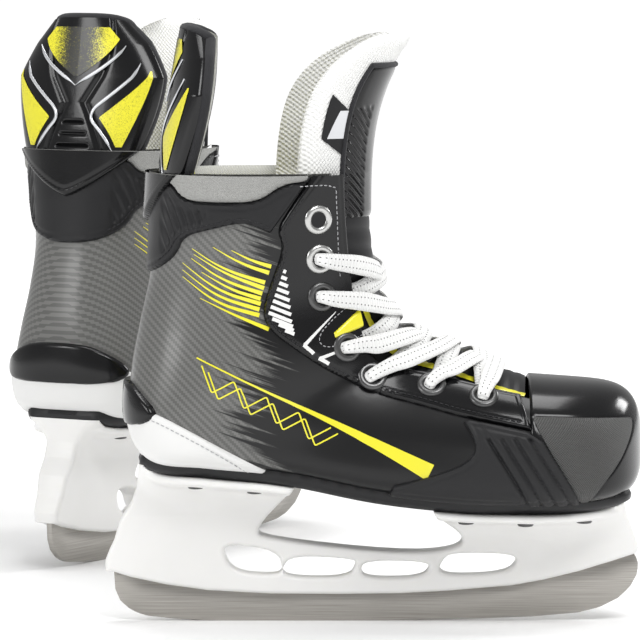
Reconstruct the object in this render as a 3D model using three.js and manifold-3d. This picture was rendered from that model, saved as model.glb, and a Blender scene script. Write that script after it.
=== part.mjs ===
// A pair of laced ice skates. Millimetres, +Z up, the ice at z = 0.
// Each skate is built with its toe along +X and its outer (lateral) side along -Y.
import * as THREE from "three";
import Module from "manifold-3d";

const wasm = await Module();
wasm.setup();

// ---------------------------------------------------------------- driving dimensions
const gap = 0.3; // clearance kept between pieces that touch

// Boot shell, as distances outwards (+) or inwards (-) from the boot's outer surface.
const shellThickness = 2;
const linerThickness = 4.6;
const footbedThickness = 2.4;
const outsoleThickness = 4.5;
const outsoleHeel = -98.5;
const outsoleSetback = 0.1; // the outsole stops this far behind the toe cap's tip
const outsoleWrap = 1.2; // how far the outsole comes up above the sole line
const facingThickness = 2.1;
const overlayThickness = 1.4;
const padThickness = 1.8; // the comfort edge and the heel patch
const toeCapProud = 0.5; // how far the toe cap stands out from the shell
const collarHeight = 184; // top of the boot above the ice
const toeTip = 108.5; // front of the toe cap
const toeCapStart = 64; // rear edge of the toe cap
const ankleHeight = 123; // the leg above this grows or shrinks with the collar's height

// Blade holder and runner.
const runnerThickness = 3;
const runnerDepthInHolder = 5;
const runnerHeel = -105.9;
const runnerOverhang = 0.3; // the runner reaches this far ahead of the toe cap's tip
const holderHeel = -109.2;
const holderBladeHalf = 5.6; // half the holder's width along the runner
const heelFlangeHalf = 26;
const toeFlangeHalf = 31;
const heelFlangeUnder = 53; // underside of the flange behind, and below it the one ahead
const toeFlangeUnder = 42.4;
const flangeThickness = 16;
const flangeInset = 7; // the flanges keep this far inside the toe, seen from above

// Lacing.
const grommetRadius = 5.8;
const barrelRadius = 4;
const holeRadius = 3.1;
const grommetThickness = 0.9;
const facingCurve = 42; // radius of the tightest curve that a grommet's flat rim lies on
const rimClearance = grommetRadius ** 2 / (2 * facingCurve);
const backingStripThickness = 0.8; // the strip inside the shell that joins the barrels
const backingStripDepth = 0.9; // from the shell's inside to the strip
const laceWidth = 5.2;
const laceThickness = 1.7;

// Tongue and tendon guard.
const tongueAboveCollar = 57;
const hingeBelowCollar = 16; // the tongue bends here
const feltThickness = 7;
const tongueFaceThickness = 2.2;
const guardAboveCollar = 59;
const guardThickness = 5;
const guardLiningThickness = 4;

const tongueHinge = collarHeight - hingeBelowCollar;
const tongueTop = collarHeight + tongueAboveCollar;
const guardTop = collarHeight + guardAboveCollar;

// Where the left skate stands, measured from the right one.
const leftTurn = THREE.MathUtils.degToRad(59);
const leftPlace = new THREE.Vector3(-86.4, 252.8, 0);

// How finely the boot's surface is cut into faces, the same for every layer, so that layers nest.
const rowStep = 1;
const toeRowStep = 0.25;
const angleStep = Math.PI / 9;

// ---------------------------------------------------------------- boot surface
// The boot's surface is swept from the collar, round the heel and out to the toe. Each station is a
// section in the plane that holds its point on the back or sole, its point on the instep, and Y.
// [back or sole x, z, instep x, z, half width, place of the widest point, squareness at sole, at instep]
const designCollar = 184; // the collar height at which the heights below were chosen
// A height on the leg, moved in step with the collar and still at the ankle.
const legHeight = (z) => (z < ankleHeight ? z
  : ankleHeight + (z - ankleHeight) * (collarHeight - ankleHeight) / (designCollar - ankleHeight));
const stations = [
  [-88.4, collarHeight, -3, collarHeight, 38.5, 0.5, 2.3, 2.2],
  [-89.4, legHeight(165), -1.5, legHeight(162), 36, 0.5, 2.3, 2.2],
  [-90.8, legHeight(143), 1, legHeight(142), 33.5, 0.5, 2.3, 2.2],
  [-95, ankleHeight, 5, legHeight(130), 33.5, 0.48, 2.4, 2.2],
  [-98.6, 103, 11, 121.5, 35.5, 0.42, 2.5, 2.1],
  [-99, 84, 17, 117.5, 36, 0.38, 3, 2],
  [-90.5, 68.6, 23, 115, 34.5, 0.34, 4, 2],
  [-68, 65.6, 29, 113, 33.5, 0.34, 5, 2],
  [-36, 62.6, 35, 111, 34, 0.36, 6, 2],
  [2, 55.4, 43, 107.5, 38, 0.4, 6, 2.1],
  [36, 52, 53, 103.5, 41.5, 0.42, 6, 2.2],
  [toeCapStart, 51.3, toeCapStart, 100, 42.5, 0.42, 5, 2.4],
];
const toeStation = stations.length - 1;
const tipStation = stations.length;
const toeMiddle = 73; // height of the foremost point of the toe cap

function catmullRom(a, b, c, d, f) {
  return 0.5 * (2 * b + (c - a) * f + (2 * a - 5 * b + 4 * c - d) * f * f
    + (3 * b - a - 3 * c + d) * f * f * f);
}

function legOrFootSection(t) {
  const i = Math.min(Math.max(Math.floor(t), 0), toeStation - 1);
  const f = t - i;
  const at = (k) => stations[Math.min(Math.max(k, 0), toeStation)];
  return stations[0].map((_, k) => {
    const before = i === 0 ? 2 * at(0)[k] - at(1)[k] : at(i - 1)[k];
    const after = i + 2 > toeStation ? 2 * at(toeStation)[k] - at(toeStation - 1)[k] : at(i + 2)[k];
    return catmullRom(before, at(i)[k], at(i + 1)[k], after, f);
  });
}

// Ahead of the toe cap's rear edge the sections are upright and close in on the tip.
function toeSection(t) {
  const s = Math.sin((Math.min(t, tipStation) - toeStation) * Math.PI / 2);
  const x = toeCapStart + (toeTip - toeCapStart) * s;
  const last = stations[toeStation];
  const close = Math.cbrt(1 - s ** 8);
  const sole = toeMiddle - (toeMiddle - last[1] - 3 * s * s) * close;
  const top = toeMiddle + (last[3] - 3 * s - toeMiddle) * close;
  return [x, sole, x, top, last[4] * (1 - s ** 2.4) ** (1 / 2.2), last[5], last[6], last[7]];
}

// A point of the surface: t runs along the stations, angle runs round the section from the sole or
// back (0) over the lateral side (positive) or the medial side (negative) to the instep (pi).
function surfacePoint(t, angle) {
  const section = t > toeStation ? toeSection(t) : legOrFootSection(t);
  const [soleX, soleZ, instepX, instepZ, half, widest, square, topSquare] = section;
  const low = Math.abs(angle) < Math.PI / 2;
  const power = 2 / (low ? square : topSquare);
  const along = Math.abs(Math.cos(angle)) ** power;
  const up = low ? widest * (1 - along) : widest + (1 - widest) * along;
  const out = -Math.sign(angle) * half * Math.abs(Math.sin(angle)) ** power;
  return new THREE.Vector3(soleX + (instepX - soleX) * up, out, soleZ + (instepZ - soleZ) * up);
}

function surfaceNormal(t, angle) {
  if (t > tipStation - 0.02) return new THREE.Vector3(1, 0, 0);
  const step = 0.02;
  const wrap = (a) => (a > Math.PI ? a - 2 * Math.PI : a < -Math.PI ? a + 2 * Math.PI : a);
  const along = surfacePoint(t + step, angle).sub(surfacePoint(t - step, angle));
  const round = surfacePoint(t, wrap(angle + step)).sub(surfacePoint(t, wrap(angle - step)));
  return along.cross(round).normalize();
}

function onBoot(t, angle, distance) {
  return surfacePoint(t, angle).addScaledVector(surfaceNormal(t, angle), distance);
}

// ---------------------------------------------------------------- solids
function solidFromTriangles(points, triangles) {
  const seen = new Map();
  const place = [];
  const index = points.map((p) => {
    const key = [p.x, p.y, p.z].map((v) => Math.round(v * 1e4)).join();
    if (!seen.has(key)) {
      seen.set(key, place.length / 3);
      place.push(p.x, p.y, p.z);
    }
    return seen.get(key);
  });
  const kept = triangles.map((t) => t.map((i) => index[i]))
    .filter(([a, b, c]) => a !== b && b !== c && c !== a);
  return new wasm.Manifold(new wasm.Mesh({
    numProp: 3, vertProperties: new Float32Array(place), triVerts: new Uint32Array(kept.flat()),
  }));
}

// The solid between two grids of points of the same size, the first one outside.
function solidBetween(outer, inner) {
  const rows = outer.length;
  const wide = outer[0].length;
  const points = [...outer.flat(), ...inner.flat()];
  const at = (layer, r, c) => layer * rows * wide + r * wide + c;
  const triangles = [];
  const quad = (a, b, c, d) => triangles.push([a, b, c], [a, c, d]);
  for (let r = 0; r + 1 < rows; r++) {
    for (let c = 0; c + 1 < wide; c++) {
      quad(at(0, r, c), at(0, r, c + 1), at(0, r + 1, c + 1), at(0, r + 1, c));
      quad(at(1, r, c), at(1, r + 1, c), at(1, r + 1, c + 1), at(1, r, c + 1));
    }
    quad(at(0, r, 0), at(0, r + 1, 0), at(1, r + 1, 0), at(1, r, 0));
    quad(at(0, r, wide - 1), at(1, r, wide - 1), at(1, r + 1, wide - 1), at(0, r + 1, wide - 1));
  }
  for (let c = 0; c + 1 < wide; c++) {
    quad(at(0, 0, c), at(1, 0, c), at(1, 0, c + 1), at(0, 0, c + 1));
    quad(at(0, rows - 1, c), at(0, rows - 1, c + 1), at(1, rows - 1, c + 1), at(1, rows - 1, c));
  }
  return solidFromTriangles(points, triangles);
}

const spread = (from, to, count) => Array
  .from({ length: count + 1 }, (_, i) => from + (to - from) * i / count);

function marksBetween(from, to, marks) {
  const clear = 0.02;
  return [from, ...marks.filter((m) => m > from + clear && m < to - clear), to];
}
const rowMarks = [
  ...spread(-1.5, toeStation - rowStep / 2, Math.round((toeStation + 1.125) / rowStep)),
  ...spread(toeStation, tipStation, Math.round(1 / toeRowStep)),
];
const angleMarks = spread(-Math.PI, Math.PI, Math.round(2 * Math.PI / angleStep));

// A layer of the boot between two distances from its surface, in a range of t and of angle.
function layer({ from, to, low, high, outside, inside }) {
  const angles = marksBetween(low, high, angleMarks).reverse();
  const grid = (distance) => marksBetween(from, to, rowMarks)
    .map((t) => angles.map((a) => onBoot(t, a, distance)));
  return solidBetween(grid(outside), grid(inside));
}

// The closed body of the whole boot, its surface moved out by a distance.
function bootBody(distance, from = -0.6, to = tipStation) {
  const rings = marksBetween(from, to, rowMarks)
    .map((t) => angleMarks.slice(0, -1).map((a) => onBoot(t, a, distance)));
  const middle = (ring) => ring
    .reduce((sum, p) => sum.add(p), new THREE.Vector3()).divideScalar(ring.length);
  const points = [...rings.flat(), middle(rings[0]), middle(rings.at(-1))];
  const wide = rings[0].length;
  const first = rings.length * wide;
  const last = first + 1;
  const triangles = [];
  for (let c = 0; c < wide; c++) {
    const next = (c + 1) % wide;
    for (let r = 0; r + 1 < rings.length; r++) {
      const a = r * wide + c;
      const b = r * wide + next;
      triangles.push([a, b + wide, b], [a, a + wide, b + wide]);
    }
    triangles.push([first, c, next], [last, first - wide + next, first - wide + c]);
  }
  return solidFromTriangles(points, triangles);
}

function fromGeometry(geometry) {
  const flat = geometry.index ? geometry.toNonIndexed() : geometry;
  const position = flat.attributes.position;
  const points = Array.from({ length: position.count }, (_, i) => new THREE.Vector3()
    .fromBufferAttribute(position, i));
  const triangles = Array.from({ length: position.count / 3 }, (_, i) => [3 * i, 3 * i + 1, 3 * i + 2]);
  return solidFromTriangles(points, triangles);
}

const axisX = new THREE.Vector3(1, 0, 0);
const axisY = new THREE.Vector3(0, 1, 0);
const axisZ = new THREE.Vector3(0, 0, 1);
const shapeOf = (outline) => new THREE.Shape(outline.map(([a, b]) => new THREE.Vector2(a, b)));

const reach = 320; // further than any piece of one skate goes along or up
const sideReach = 80; // further than any piece goes across

// A side-view outline (x, z) made solid across the skate, between two values of y.
function sideSolid(outline, fromY = -sideReach, toY = sideReach) {
  const geometry = new THREE.ExtrudeGeometry(shapeOf(outline), { depth: toY - fromY, bevelEnabled: false });
  return fromGeometry(geometry.rotateX(Math.PI / 2).translate(0, toY, 0));
}

// A front-view outline (y, z) made solid along the skate, between two values of x.
function frontSolid(outline, fromX, toX) {
  const geometry = new THREE.ExtrudeGeometry(shapeOf(outline), { depth: toX - fromX, bevelEnabled: false });
  const turn = new THREE.Matrix4().makeBasis(axisY, axisZ, axisX);
  return fromGeometry(geometry.applyMatrix4(turn).translate(fromX, 0, 0));
}

// ---------------------------------------------------------------- side-view outlines on the boot
const soleLine = spread(-0.2, 11.6, 24).map((t) => surfacePoint(t, 0)).filter((p) => p.z < 90);
const behindHeel = -130;
const aheadOfToe = toeTip + 21.5;
const underSole = -10;
// Everything lower than the sole line raised by some distance.
const belowSoleLine = (raise) => [
  [behindHeel, underSole], [aheadOfToe, underSole], [aheadOfToe, 57 + raise],
  ...soleLine.map((p) => [p.x, p.z + raise]).filter(([x, z]) => z < 71 + raise).reverse(),
  [behindHeel, 72 + raise],
];
// The edges that neighbouring overlays share, each from rear to front.
const facingRearEdge = [
  [-35, 190], [-38.2, 163], [-36, 156], [-41.4, 146], [-45, 129.5], [-41.8, 122], [-30.4, 113.5],
  [-17, 104.5], [1.8, 95.1], [19.4, 91.4], [35.3, 87.3], [toeCapStart - gap, 82],
].map(([x, z]) => [x, legHeight(z)]);
const facingOutline = [...facingRearEdge, [toeCapStart - gap, 130], [40, legHeight(190)]];
const onLeg = (outline) => outline.map(([x, z]) => [x, legHeight(z)]);
const strapOutline = onLeg([
  [-100, 140.5], [-92.9, 142], [-78.6, 151.8], [-76.5, 159.6], [-53.3, 165.7], [-48.8, 164.5], [-39.3, 161],
  [-36.4, 182.6], [-36.5, 182.4], [-45.5, 173.9], [-76.1, 173.9], [-80.6, 181], [-100, 180],
]);
const comfortOutline = onLeg([
  [-100, 180 + gap], [-80.6, 181 + gap], [-75.9, 173.9 + gap], [-45.7, 173.9 + gap], [-36, 183.3],
  [-36, 190], [-100, 190],
]);
const heelWrapOutline = [[-105, 90], [-86, 87], [-64.7, 76.3], [-40, 66], [-40, 40], [-110, 40]];
const heelPatchOutline = [[-110, 99], [-98, 98.5], [-93.3, 92.5], [-86, 88], [-105, 91]];
const panelOutline = [
  [21.4, 90.5], [35.3, 86.8], [toeCapStart, 81.5], [76.5, 71.4], [86.3, 59.2], [88.8, 45], [22, 45],
];

// ---------------------------------------------------------------- boot pieces
const facingEdge = 2.42; // angle at which the shell's sides stop, either side of the tongue
const linerEdge = 5.1 * angleStep;
const shellInside = -shellThickness;
const linerInside = shellInside - gap - linerThickness;

const eyelets = onLeg([
  [-23, 167], [-22.2, 151], [-21.4, 135.5], [-3, 116.5], [14.5, 109], [31, 104.5], [47.5, 100.5],
]);
const eyeletEdge = 0.17; // the eyelets keep this angle behind the edge of the facing

function nearestOnSide([x, z]) {
  const tried = spread(0, toeStation, 220).flatMap((t) => spread(1.6, facingEdge, 60).map((angle) => {
    const p = surfacePoint(t, angle);
    return { t, angle, far: Math.hypot(p.x - x, p.z - z) };
  }));
  return tried.reduce((best, next) => (next.far < best.far ? next : best));
}
const eyeletPlaces = eyelets.map(([x, z]) => {
  const found = nearestOnSide([x, z]);
  return { t: found.t, angle: Math.min(found.angle, facingEdge - eyeletEdge) };
});

function cylinderAt(t, angle, radius, from, to, sides = 6) {
  const geometry = new THREE.CylinderGeometry(radius, radius, to - from, sides);
  const turn = new THREE.Quaternion().setFromUnitVectors(axisY, surfaceNormal(t, angle));
  const middle = onBoot(t, angle, (from + to) / 2);
  return fromGeometry(geometry.applyQuaternion(turn).translate(middle.x, middle.y, middle.z));
}
const sides = { lateral: 1, medial: -1 };
const holeReach = 12; // the holes are cut this far to either side of the surface
const eyeletHoles = Object.values(sides).flatMap((side) => eyeletPlaces
  .map(({ t, angle }) => cylinderAt(t, side * angle, barrelRadius + gap, -holeReach, holeReach)));
const together = (list) => list.reduce((sum, part) => sum.add(part));
const allHoles = together(eyeletHoles);

// One half of the boot, seen from the front.
function onOneSide(side) {
  const half = [[0.5, 0], [sideReach, 0], [sideReach, reach], [0.5, reach]];
  return frontSolid(half.map(([y, z]) => [-side * y, z]), -reach, reach);
}

const shellEnd = toeStation - 0.03;
function quarterShell() {
  return layer({ from: 0, to: shellEnd, low: -facingEdge, high: facingEdge, outside: 0, inside: shellInside })
    .subtract(allHoles);
}

function toeCap() {
  const outer = bootBody(toeCapProud, toeStation, tipStation);
  return outer.subtract(bootBody(shellInside, toeStation - 1, tipStation));
}

function liner() {
  return layer({
    from: 0, to: shellEnd, low: -linerEdge, high: linerEdge,
    outside: shellInside - 2 * gap, inside: linerInside,
  });
}

function footbed() {
  return layer({
    from: 6.5, to: toeStation - 0.5, low: -2 * angleStep, high: 2 * angleStep,
    outside: linerInside - gap, inside: linerInside - gap - footbedThickness,
  });
}

function outsole() {
  const whole = bootBody(toeCapProud + gap + outsoleThickness, 4.5).subtract(bootBody(toeCapProud + gap));
  const toe = toeTip - outsoleSetback;
  const lengthwise = sideSolid([[outsoleHeel, 0], [toe, 0], [toe, reach], [outsoleHeel, reach]]);
  return whole.intersect(sideSolid(belowSoleLine(outsoleWrap))).intersect(lengthwise);
}

const besideOutsole = sideSolid(belowSoleLine(outsoleWrap + gap)); // overlays stop above this
const overlay = (outline, inside, outside) => layer({
  from: 0, to: shellEnd, low: -facingEdge, high: facingEdge, outside, inside,
}).intersect(sideSolid(outline));

function facing(side) {
  return overlay(facingOutline, gap, gap + facingThickness)
    .intersect(onOneSide(side)).subtract(allHoles);
}

function grommets(side) {
  const bottom = shellInside - gap - backingStripDepth - backingStripThickness;
  const top = gap + facingThickness + rimClearance + grommetThickness;
  const stops = [0, 0.5, 1, 1.5, 2, 2.25, 2.5, 2.75, 3, 3.5, 4, 4.5, 5, 5.5, 6].map(alongEyelets);
  const halfStrip = 0.08;
  const stripGrid = (distance) => stops.map(({ t, angle }) => [-halfStrip, halfStrip]
    .map((edge) => onBoot(t, side * angle - edge, distance)));
  const strip = solidBetween(stripGrid(bottom + backingStripThickness), stripGrid(bottom));
  const bore = (radius, from, to) => eyeletPlaces
    .map(({ t, angle }) => cylinderAt(t, side * angle, radius, from, to));
  const rims = bore(grommetRadius, top - grommetThickness, top);
  const barrels = bore(barrelRadius, bottom + backingStripThickness / 2, top);
  return together([strip, ...rims, ...barrels]).subtract(together(bore(holeRadius, bottom - 2, top + 2)));
}
// The place on the row of eyelets that lies a share of the way from one eyelet to the next.
function alongEyelets(place) {
  const i = Math.min(Math.floor(place), eyeletPlaces.length - 2);
  const a = eyeletPlaces[i];
  const b = eyeletPlaces[i + 1];
  return { t: a.t + (b.t - a.t) * (place - i), angle: a.angle + (b.angle - a.angle) * (place - i) };
}

const strap = () => overlay(strapOutline, gap, gap + overlayThickness);
const comfortEdge = () => overlay(comfortOutline, gap, gap + padThickness);
const heelWrap = () => overlay(heelWrapOutline, gap, gap + overlayThickness).subtract(besideOutsole);
const heelPatch = () => overlay(heelPatchOutline, gap, gap + padThickness);
function panel(side) {
  const skin = bootBody(toeCapProud + gap + overlayThickness, 8).subtract(bootBody(toeCapProud + gap, 7));
  return skin.intersect(sideSolid(panelOutline)).subtract(besideOutsole).intersect(onOneSide(side));
}

// ---------------------------------------------------------------- tongue
// Under the shell's edges the tongue lies deeper than along its middle.
const tongueRise = (angle) => 5.6 * Math.max(0, 1 - (Math.PI - Math.abs(angle)) / 0.55);
const tongueAngles = (t, share) => Math.PI + share * 1.05;
const wrapped = (a) => (a > Math.PI ? a - 2 * Math.PI : a);
function tongueLower() {
  const rowsAt = spread(1.4, toeStation - 0.4, 11);
  const grid = (depth) => rowsAt.map((t) => spread(1, -1, 8).map((share) => {
    const a = wrapped(tongueAngles(t, share));
    return onBoot(t, a, tongueRise(a) - depth);
  }));
  return solidBetween(grid(7), grid(11.5));
}

// The upper tongue is a curved sheet: s runs up it, share runs across it from -1 to 1.
function tongueSheet(s, share, depth) {
  const z = tongueHinge + 2 + (tongueTop - tongueHinge - 2) * s;
  const front = -1 + 15 * s * s * s - depth;
  const narrow = Math.sqrt(Math.max(0, 1 - Math.max(0, (s - 0.55) / 0.46) ** 2.6));
  const half = (25 + 6 * Math.min(1, s * 4)) * (0.25 + 0.75 * narrow) - depth * 0.8;
  const back = 36 * (0.15 + 0.85 * narrow) - depth * 0.3;
  const turn = share * Math.PI / 2 * 0.98;
  return new THREE.Vector3(front - back * (1 - Math.cos(turn)), half * Math.sin(turn), z);
}
function tongueSheetSolid(fromS, toS, reach, outside, inside) {
  const grid = (depth) => spread(fromS, toS, 10)
    .map((s) => spread(-reach, reach, 8).map((share) => tongueSheet(s, share, depth)));
  return solidBetween(grid(outside), grid(inside));
}
const tongueFace = () => tongueSheetSolid(0, 0.93, 0.8, 0, tongueFaceThickness);
const tongueFelt = () => {
  const front = tongueFaceThickness + 2 * gap;
  return tongueSheetSolid(0, 1, 1, front, front + feltThickness);
};

// ---------------------------------------------------------------- tendon guard
// u runs up the guard, share runs round it from the lateral to the medial wing.
function guardSheet(u, share, depth) {
  const z = collarHeight + 2 + (guardTop - collarHeight - 2) * u;
  const rear = -87.5 + 9 * u ** 1.15 + depth;
  const widest = 26 + 12 * Math.sin(Math.PI * Math.min(1, 0.12 + u * 0.62));
  const half = widest - 14 * Math.max(0, u - 0.55) / 0.45 - depth;
  const wing = 11 + 3 * Math.sin(Math.PI * u) - depth * 0.3;
  const turn = share * Math.PI / 2;
  return new THREE.Vector3(rear + wing * (1 - Math.cos(turn)), half * Math.sin(turn), z);
}
function guardSolid(outside, inside) {
  const grid = (depth) => spread(0, 1, 8)
    .map((u) => spread(1, -1, 8).map((share) => guardSheet(u, share, depth)));
  return solidBetween(grid(outside), grid(inside));
}

function guardLining() {
  const front = guardThickness + gap;
  return guardSolid(front, front + guardLiningThickness);
}

// ---------------------------------------------------------------- sole hardware
const runnerBottom = [
  [runnerHeel, 20.4], [-105.1, 11], [-100.2, 5.3], [-92.4, 2], [-67.6, 0], [3, 0], [43.9, 0.8],
  [84.3, 3.3], [toeTip - 7.5, 9.4], [toeTip + runnerOverhang, 19.6], [toeTip - 0.9, 28.2],
];
// Where the holder meets the runner, from the toe to the heel.
const seam = [
  [toeTip - 0.9, 28.2], [84.3, 20.8], [57.3, 14.7], [30, 12.7], [11.2, 11.4], [-41.4, 11.4],
  [-67.6, 12.7], [-99, 18.4], [runnerHeel, 20.4],
];
const insideHolder = seam.slice(1, -1).map(([x, z]) => [x, z + runnerDepthInHolder]);
const across = (outline, half) => sideSolid(outline, -half, half);
const runner = () => across(
  [...runnerBottom, [toeTip - 4.5, 27.4], ...insideHolder, [-101, 21.6]],
  runnerThickness / 2,
);

const slots = [
  [[-61, 29], [-57, 31.8], [-38.5, 29], [-36.5, 21], [-40, 19.2], [-57, 20.5]],
  [[-32, 26.9], [-8, 26], [-6.7, 24], [-9, 18.3], [-33, 18.3], [-36.9, 22]],
  [[-3, 24.9], [20, 24.7], [24, 22.5], [20, 18.3], [-2, 18], [-4.5, 21]],
  [[29, 26], [33, 28.2], [55, 28], [58.6, 25], [55, 20.5], [33, 19], [27.6, 21]],
];
// The flanges' rounded ends, seen from above.
const flangeEnd = (a) => [
  (a < 0 ? -1 : 1) * Math.abs(Math.sin(a)) ** 0.8,
  Math.cos(a) ** 0.7,
];
const heelFlangeStart = -50;
const heelFlangeLength = 50.6;
const planClearance = 0.5; // the plan is this much wider than the flanges
function flangePlan() {
  const ends = spread(-Math.PI / 2, Math.PI / 2, 16).map(flangeEnd);
  const toeLength = toeTip - toeCapStart - flangeInset;
  const toe = ends.map(([y, x]) => [toeCapStart + toeLength * x, -y * (toeFlangeHalf + planClearance)]);
  const heel = ends.map(([y, x]) => [
    heelFlangeStart - heelFlangeLength * x,
    -y * (heelFlangeHalf + planClearance),
  ]).reverse();
  const plan = shapeOf([...toe, ...heel]);
  return fromGeometry(new THREE.ExtrudeGeometry(plan, { depth: reach, bevelEnabled: false }));
}
function holder() {
  const posts = [
    [-28.8, 72], [-28.8, 56], [-32.9, 54.4], [-47.1, 38.8], [-41.8, 34.7], [11.2, 28.6], [34, 30.6],
    [37.8, 35.1],
    [22.7, 45.5], [22.7, 62], [toeTip - 0.5, 62], [toeTip - 7.5, 51], [toeTip - 2.6, 38.8],
    [toeTip + runnerOverhang, 31.4],
  ];
  const heelPost = [
    [holderHeel, 21.5], [holderHeel, 25.3], [-105.9, 32.7], [-103.1, 42], [-97.8, 51], [-93, 75],
  ];
  const solid = across([...posts, ...seam, ...heelPost], toeFlangeHalf);
  const halfFront = (flangeHalf, flangeUnder) => [
    [flangeHalf, flangeUnder + flangeThickness], [flangeHalf, flangeUnder],
    [flangeHalf * 0.62, flangeUnder - 2], [11, flangeUnder - 10],
    [holderBladeHalf + 1.5, 31], [holderBladeHalf, 11],
  ];
  const closed = (half) => [...half, ...half.map(([y, z]) => [-y, z]).reverse()];
  const middle = -10; // the two flanges' bodies meet here, in the arch
  const rear = frontSolid(closed(halfFront(heelFlangeHalf, heelFlangeUnder)), -reach, middle);
  const front = frontSolid(closed(halfFront(toeFlangeHalf, toeFlangeUnder)), middle, reach);
  const slotOutline = [
    ...runnerBottom, [toeTip - 4.1, 28.5], ...insideHolder.map(([x, z]) => [x, z + gap]), [-101.6, 22],
  ];
  const slot = across(slotOutline, runnerThickness / 2 + gap);
  const windows = together(slots.map((outline) => across(outline, sideReach)));
  return solid.intersect(rear.add(front)).subtract(slot).subtract(windows)
    .intersect(sideSolid(belowSoleLine(-2))).intersect(flangePlan())
    .subtract(bootBody(toeCapProud + 2 * gap + outsoleThickness));
}

// ---------------------------------------------------------------- lace
// Each pass comes up under one facing, crosses the tongue, lies over the other facing and dives
// into the next grommet. The two halves of the lace cross on the tongue.
const overFacing = gap + facingThickness + rimClearance + grommetThickness + 3 * gap + laceThickness / 2;
const underShell = shellInside - 2 * gap - backingStripDepth - backingStripThickness - laceThickness / 2;
function ribbon(stops) {
  const centre = new THREE.CatmullRomCurve3(stops.map(([t, a, d]) => onBoot(t, a, d)));
  const ups = stops.map(([t, a]) => surfaceNormal(t, a));
  const count = 7;
  const upAt = (f) => {
    const i = Math.min(Math.floor(f * (ups.length - 1)), ups.length - 2);
    return ups[i].clone().lerp(ups[i + 1], f * (ups.length - 1) - i).normalize();
  };
  const grid = (lift) => spread(0, 1, count).map((f) => {
    const up = upAt(f);
    const out = centre.getTangent(f).cross(up).normalize();
    return [-1, 1].map((w) => centre.getPoint(f)
      .addScaledVector(out, w * laceWidth / 2).addScaledVector(up, lift));
  });
  return solidBetween(grid(laceThickness / 2), grid(-laceThickness / 2));
}
function lacePass(side, from, to) {
  const mix = (f) => from.t + (to.t - from.t) * f;
  return ribbon([
    [from.t, side * from.angle, underShell], [mix(0.12), side * (facingEdge + 0.04), underShell + 0.6],
    [mix(0.28), side * 2.75, -0.6], [mix(0.5), side * Math.PI, 1.6], [mix(0.7), -side * 2.78, 3.2],
    [mix(0.86), -side * (facingEdge + 0.04), overFacing + 0.6], [to.t, -side * to.angle, overFacing],
  ]);
}
function lace() {
  const used = [...eyeletPlaces].slice(1).reverse();
  const pieces = [];
  for (const side of Object.values(sides)) {
    used.forEach((place, i) => {
      if (i + 1 < used.length) pieces.push(lacePass(side, place, used[i + 1]));
      pieces.push(cylinderAt(place.t, side * place.angle, holeRadius - gap, underShell, overFacing));
    });
  }
  const first = used[0];
  pieces.push(ribbon([
    [first.t, first.angle, overFacing], [first.t, facingEdge + 0.04, overFacing + 0.6],
    [first.t, Math.PI, 2.6],
    [first.t, -facingEdge - 0.04, overFacing + 0.6], [first.t, -first.angle, overFacing],
  ]));
  return together(pieces);
}

// ---------------------------------------------------------------- the two skates
const makers = {
  runner: [runner, 0x8d887f, 0.3, 1],
  holder: [holder, 0xe6e5e1, 0.45, 0],
  outsole: [outsole, 0x17181a, 0.6, 0],
  quarter_shell: [quarterShell, 0x55575a, 0.6, 0],
  toe_cap: [toeCap, 0x141517, 0.25, 0],
  heel_patch: [heelPatch, 0x141517, 0.2, 0],
  heel_wrap: [heelWrap, 0xdedddb, 0.5, 0],
  collar_strap: [strap, 0x1d1e20, 0.6, 0],
  comfort_edge: [comfortEdge, 0x8a8c8e, 0.8, 0],
  liner: [liner, 0xc9c74a, 0.9, 0],
  footbed: [footbed, 0x3b3c3e, 0.9, 0],
  facing_lateral: [() => facing(sides.lateral), 0x18191b, 0.3, 0],
  facing_medial: [() => facing(sides.medial), 0x18191b, 0.3, 0],
  grommets_lateral: [() => grommets(sides.lateral), 0x9a9a98, 0.3, 1],
  grommets_medial: [() => grommets(sides.medial), 0x9a9a98, 0.3, 1],
  side_panel_lateral: [() => panel(sides.lateral), 0x202124, 0.7, 0],
  side_panel_medial: [() => panel(sides.medial), 0x202124, 0.7, 0],
  tongue_lower: [tongueLower, 0x2a2b2d, 0.8, 0],
  tongue_face: [tongueFace, 0x1a1b1d, 0.6, 0],
  tongue_felt: [tongueFelt, 0xe8e8e6, 1, 0],
  tendon_guard: [() => guardSolid(0, guardThickness), 0x151618, 0.25, 0],
  guard_lining: [guardLining, 0xd9d532, 0.9, 0],
  lace: [lace, 0xe9e9e8, 0.9, 0],
};

function meshOf(name, solid, [, color, roughness, metalness]) {
  const made = solid.getMesh();
  const place = new Float32Array(made.numVert * 3);
  for (let i = 0; i < made.numVert; i++) {
    place.set(made.vertProperties.subarray(i * made.numProp, i * made.numProp + 3), i * 3);
  }
  const geometry = new THREE.BufferGeometry()
    .setAttribute("position", new THREE.BufferAttribute(place, 3))
    .setIndex(new THREE.BufferAttribute(new Uint32Array(made.triVerts), 1));
  const mesh = new THREE.Mesh(geometry, new THREE.MeshStandardMaterial({ color, roughness, metalness }));
  mesh.name = name;
  return mesh;
}

const seamTolerance = 0.05; // booleans leave slivers smaller than this, which are merged
const solids = Object.entries(makers)
  .map(([name, maker]) => [name, maker[0]().simplify(seamTolerance), maker]);
function skate(hand) {
  const group = new THREE.Group();
  for (const [name, solid, maker] of solids) group.add(meshOf(`${hand}_${name}`, solid, maker));
  return group;
}

const right = skate("right");
const left = skate("left");
left.scale.y = -1;
left.rotation.z = leftTurn;
left.position.copy(leftPlace);

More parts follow.
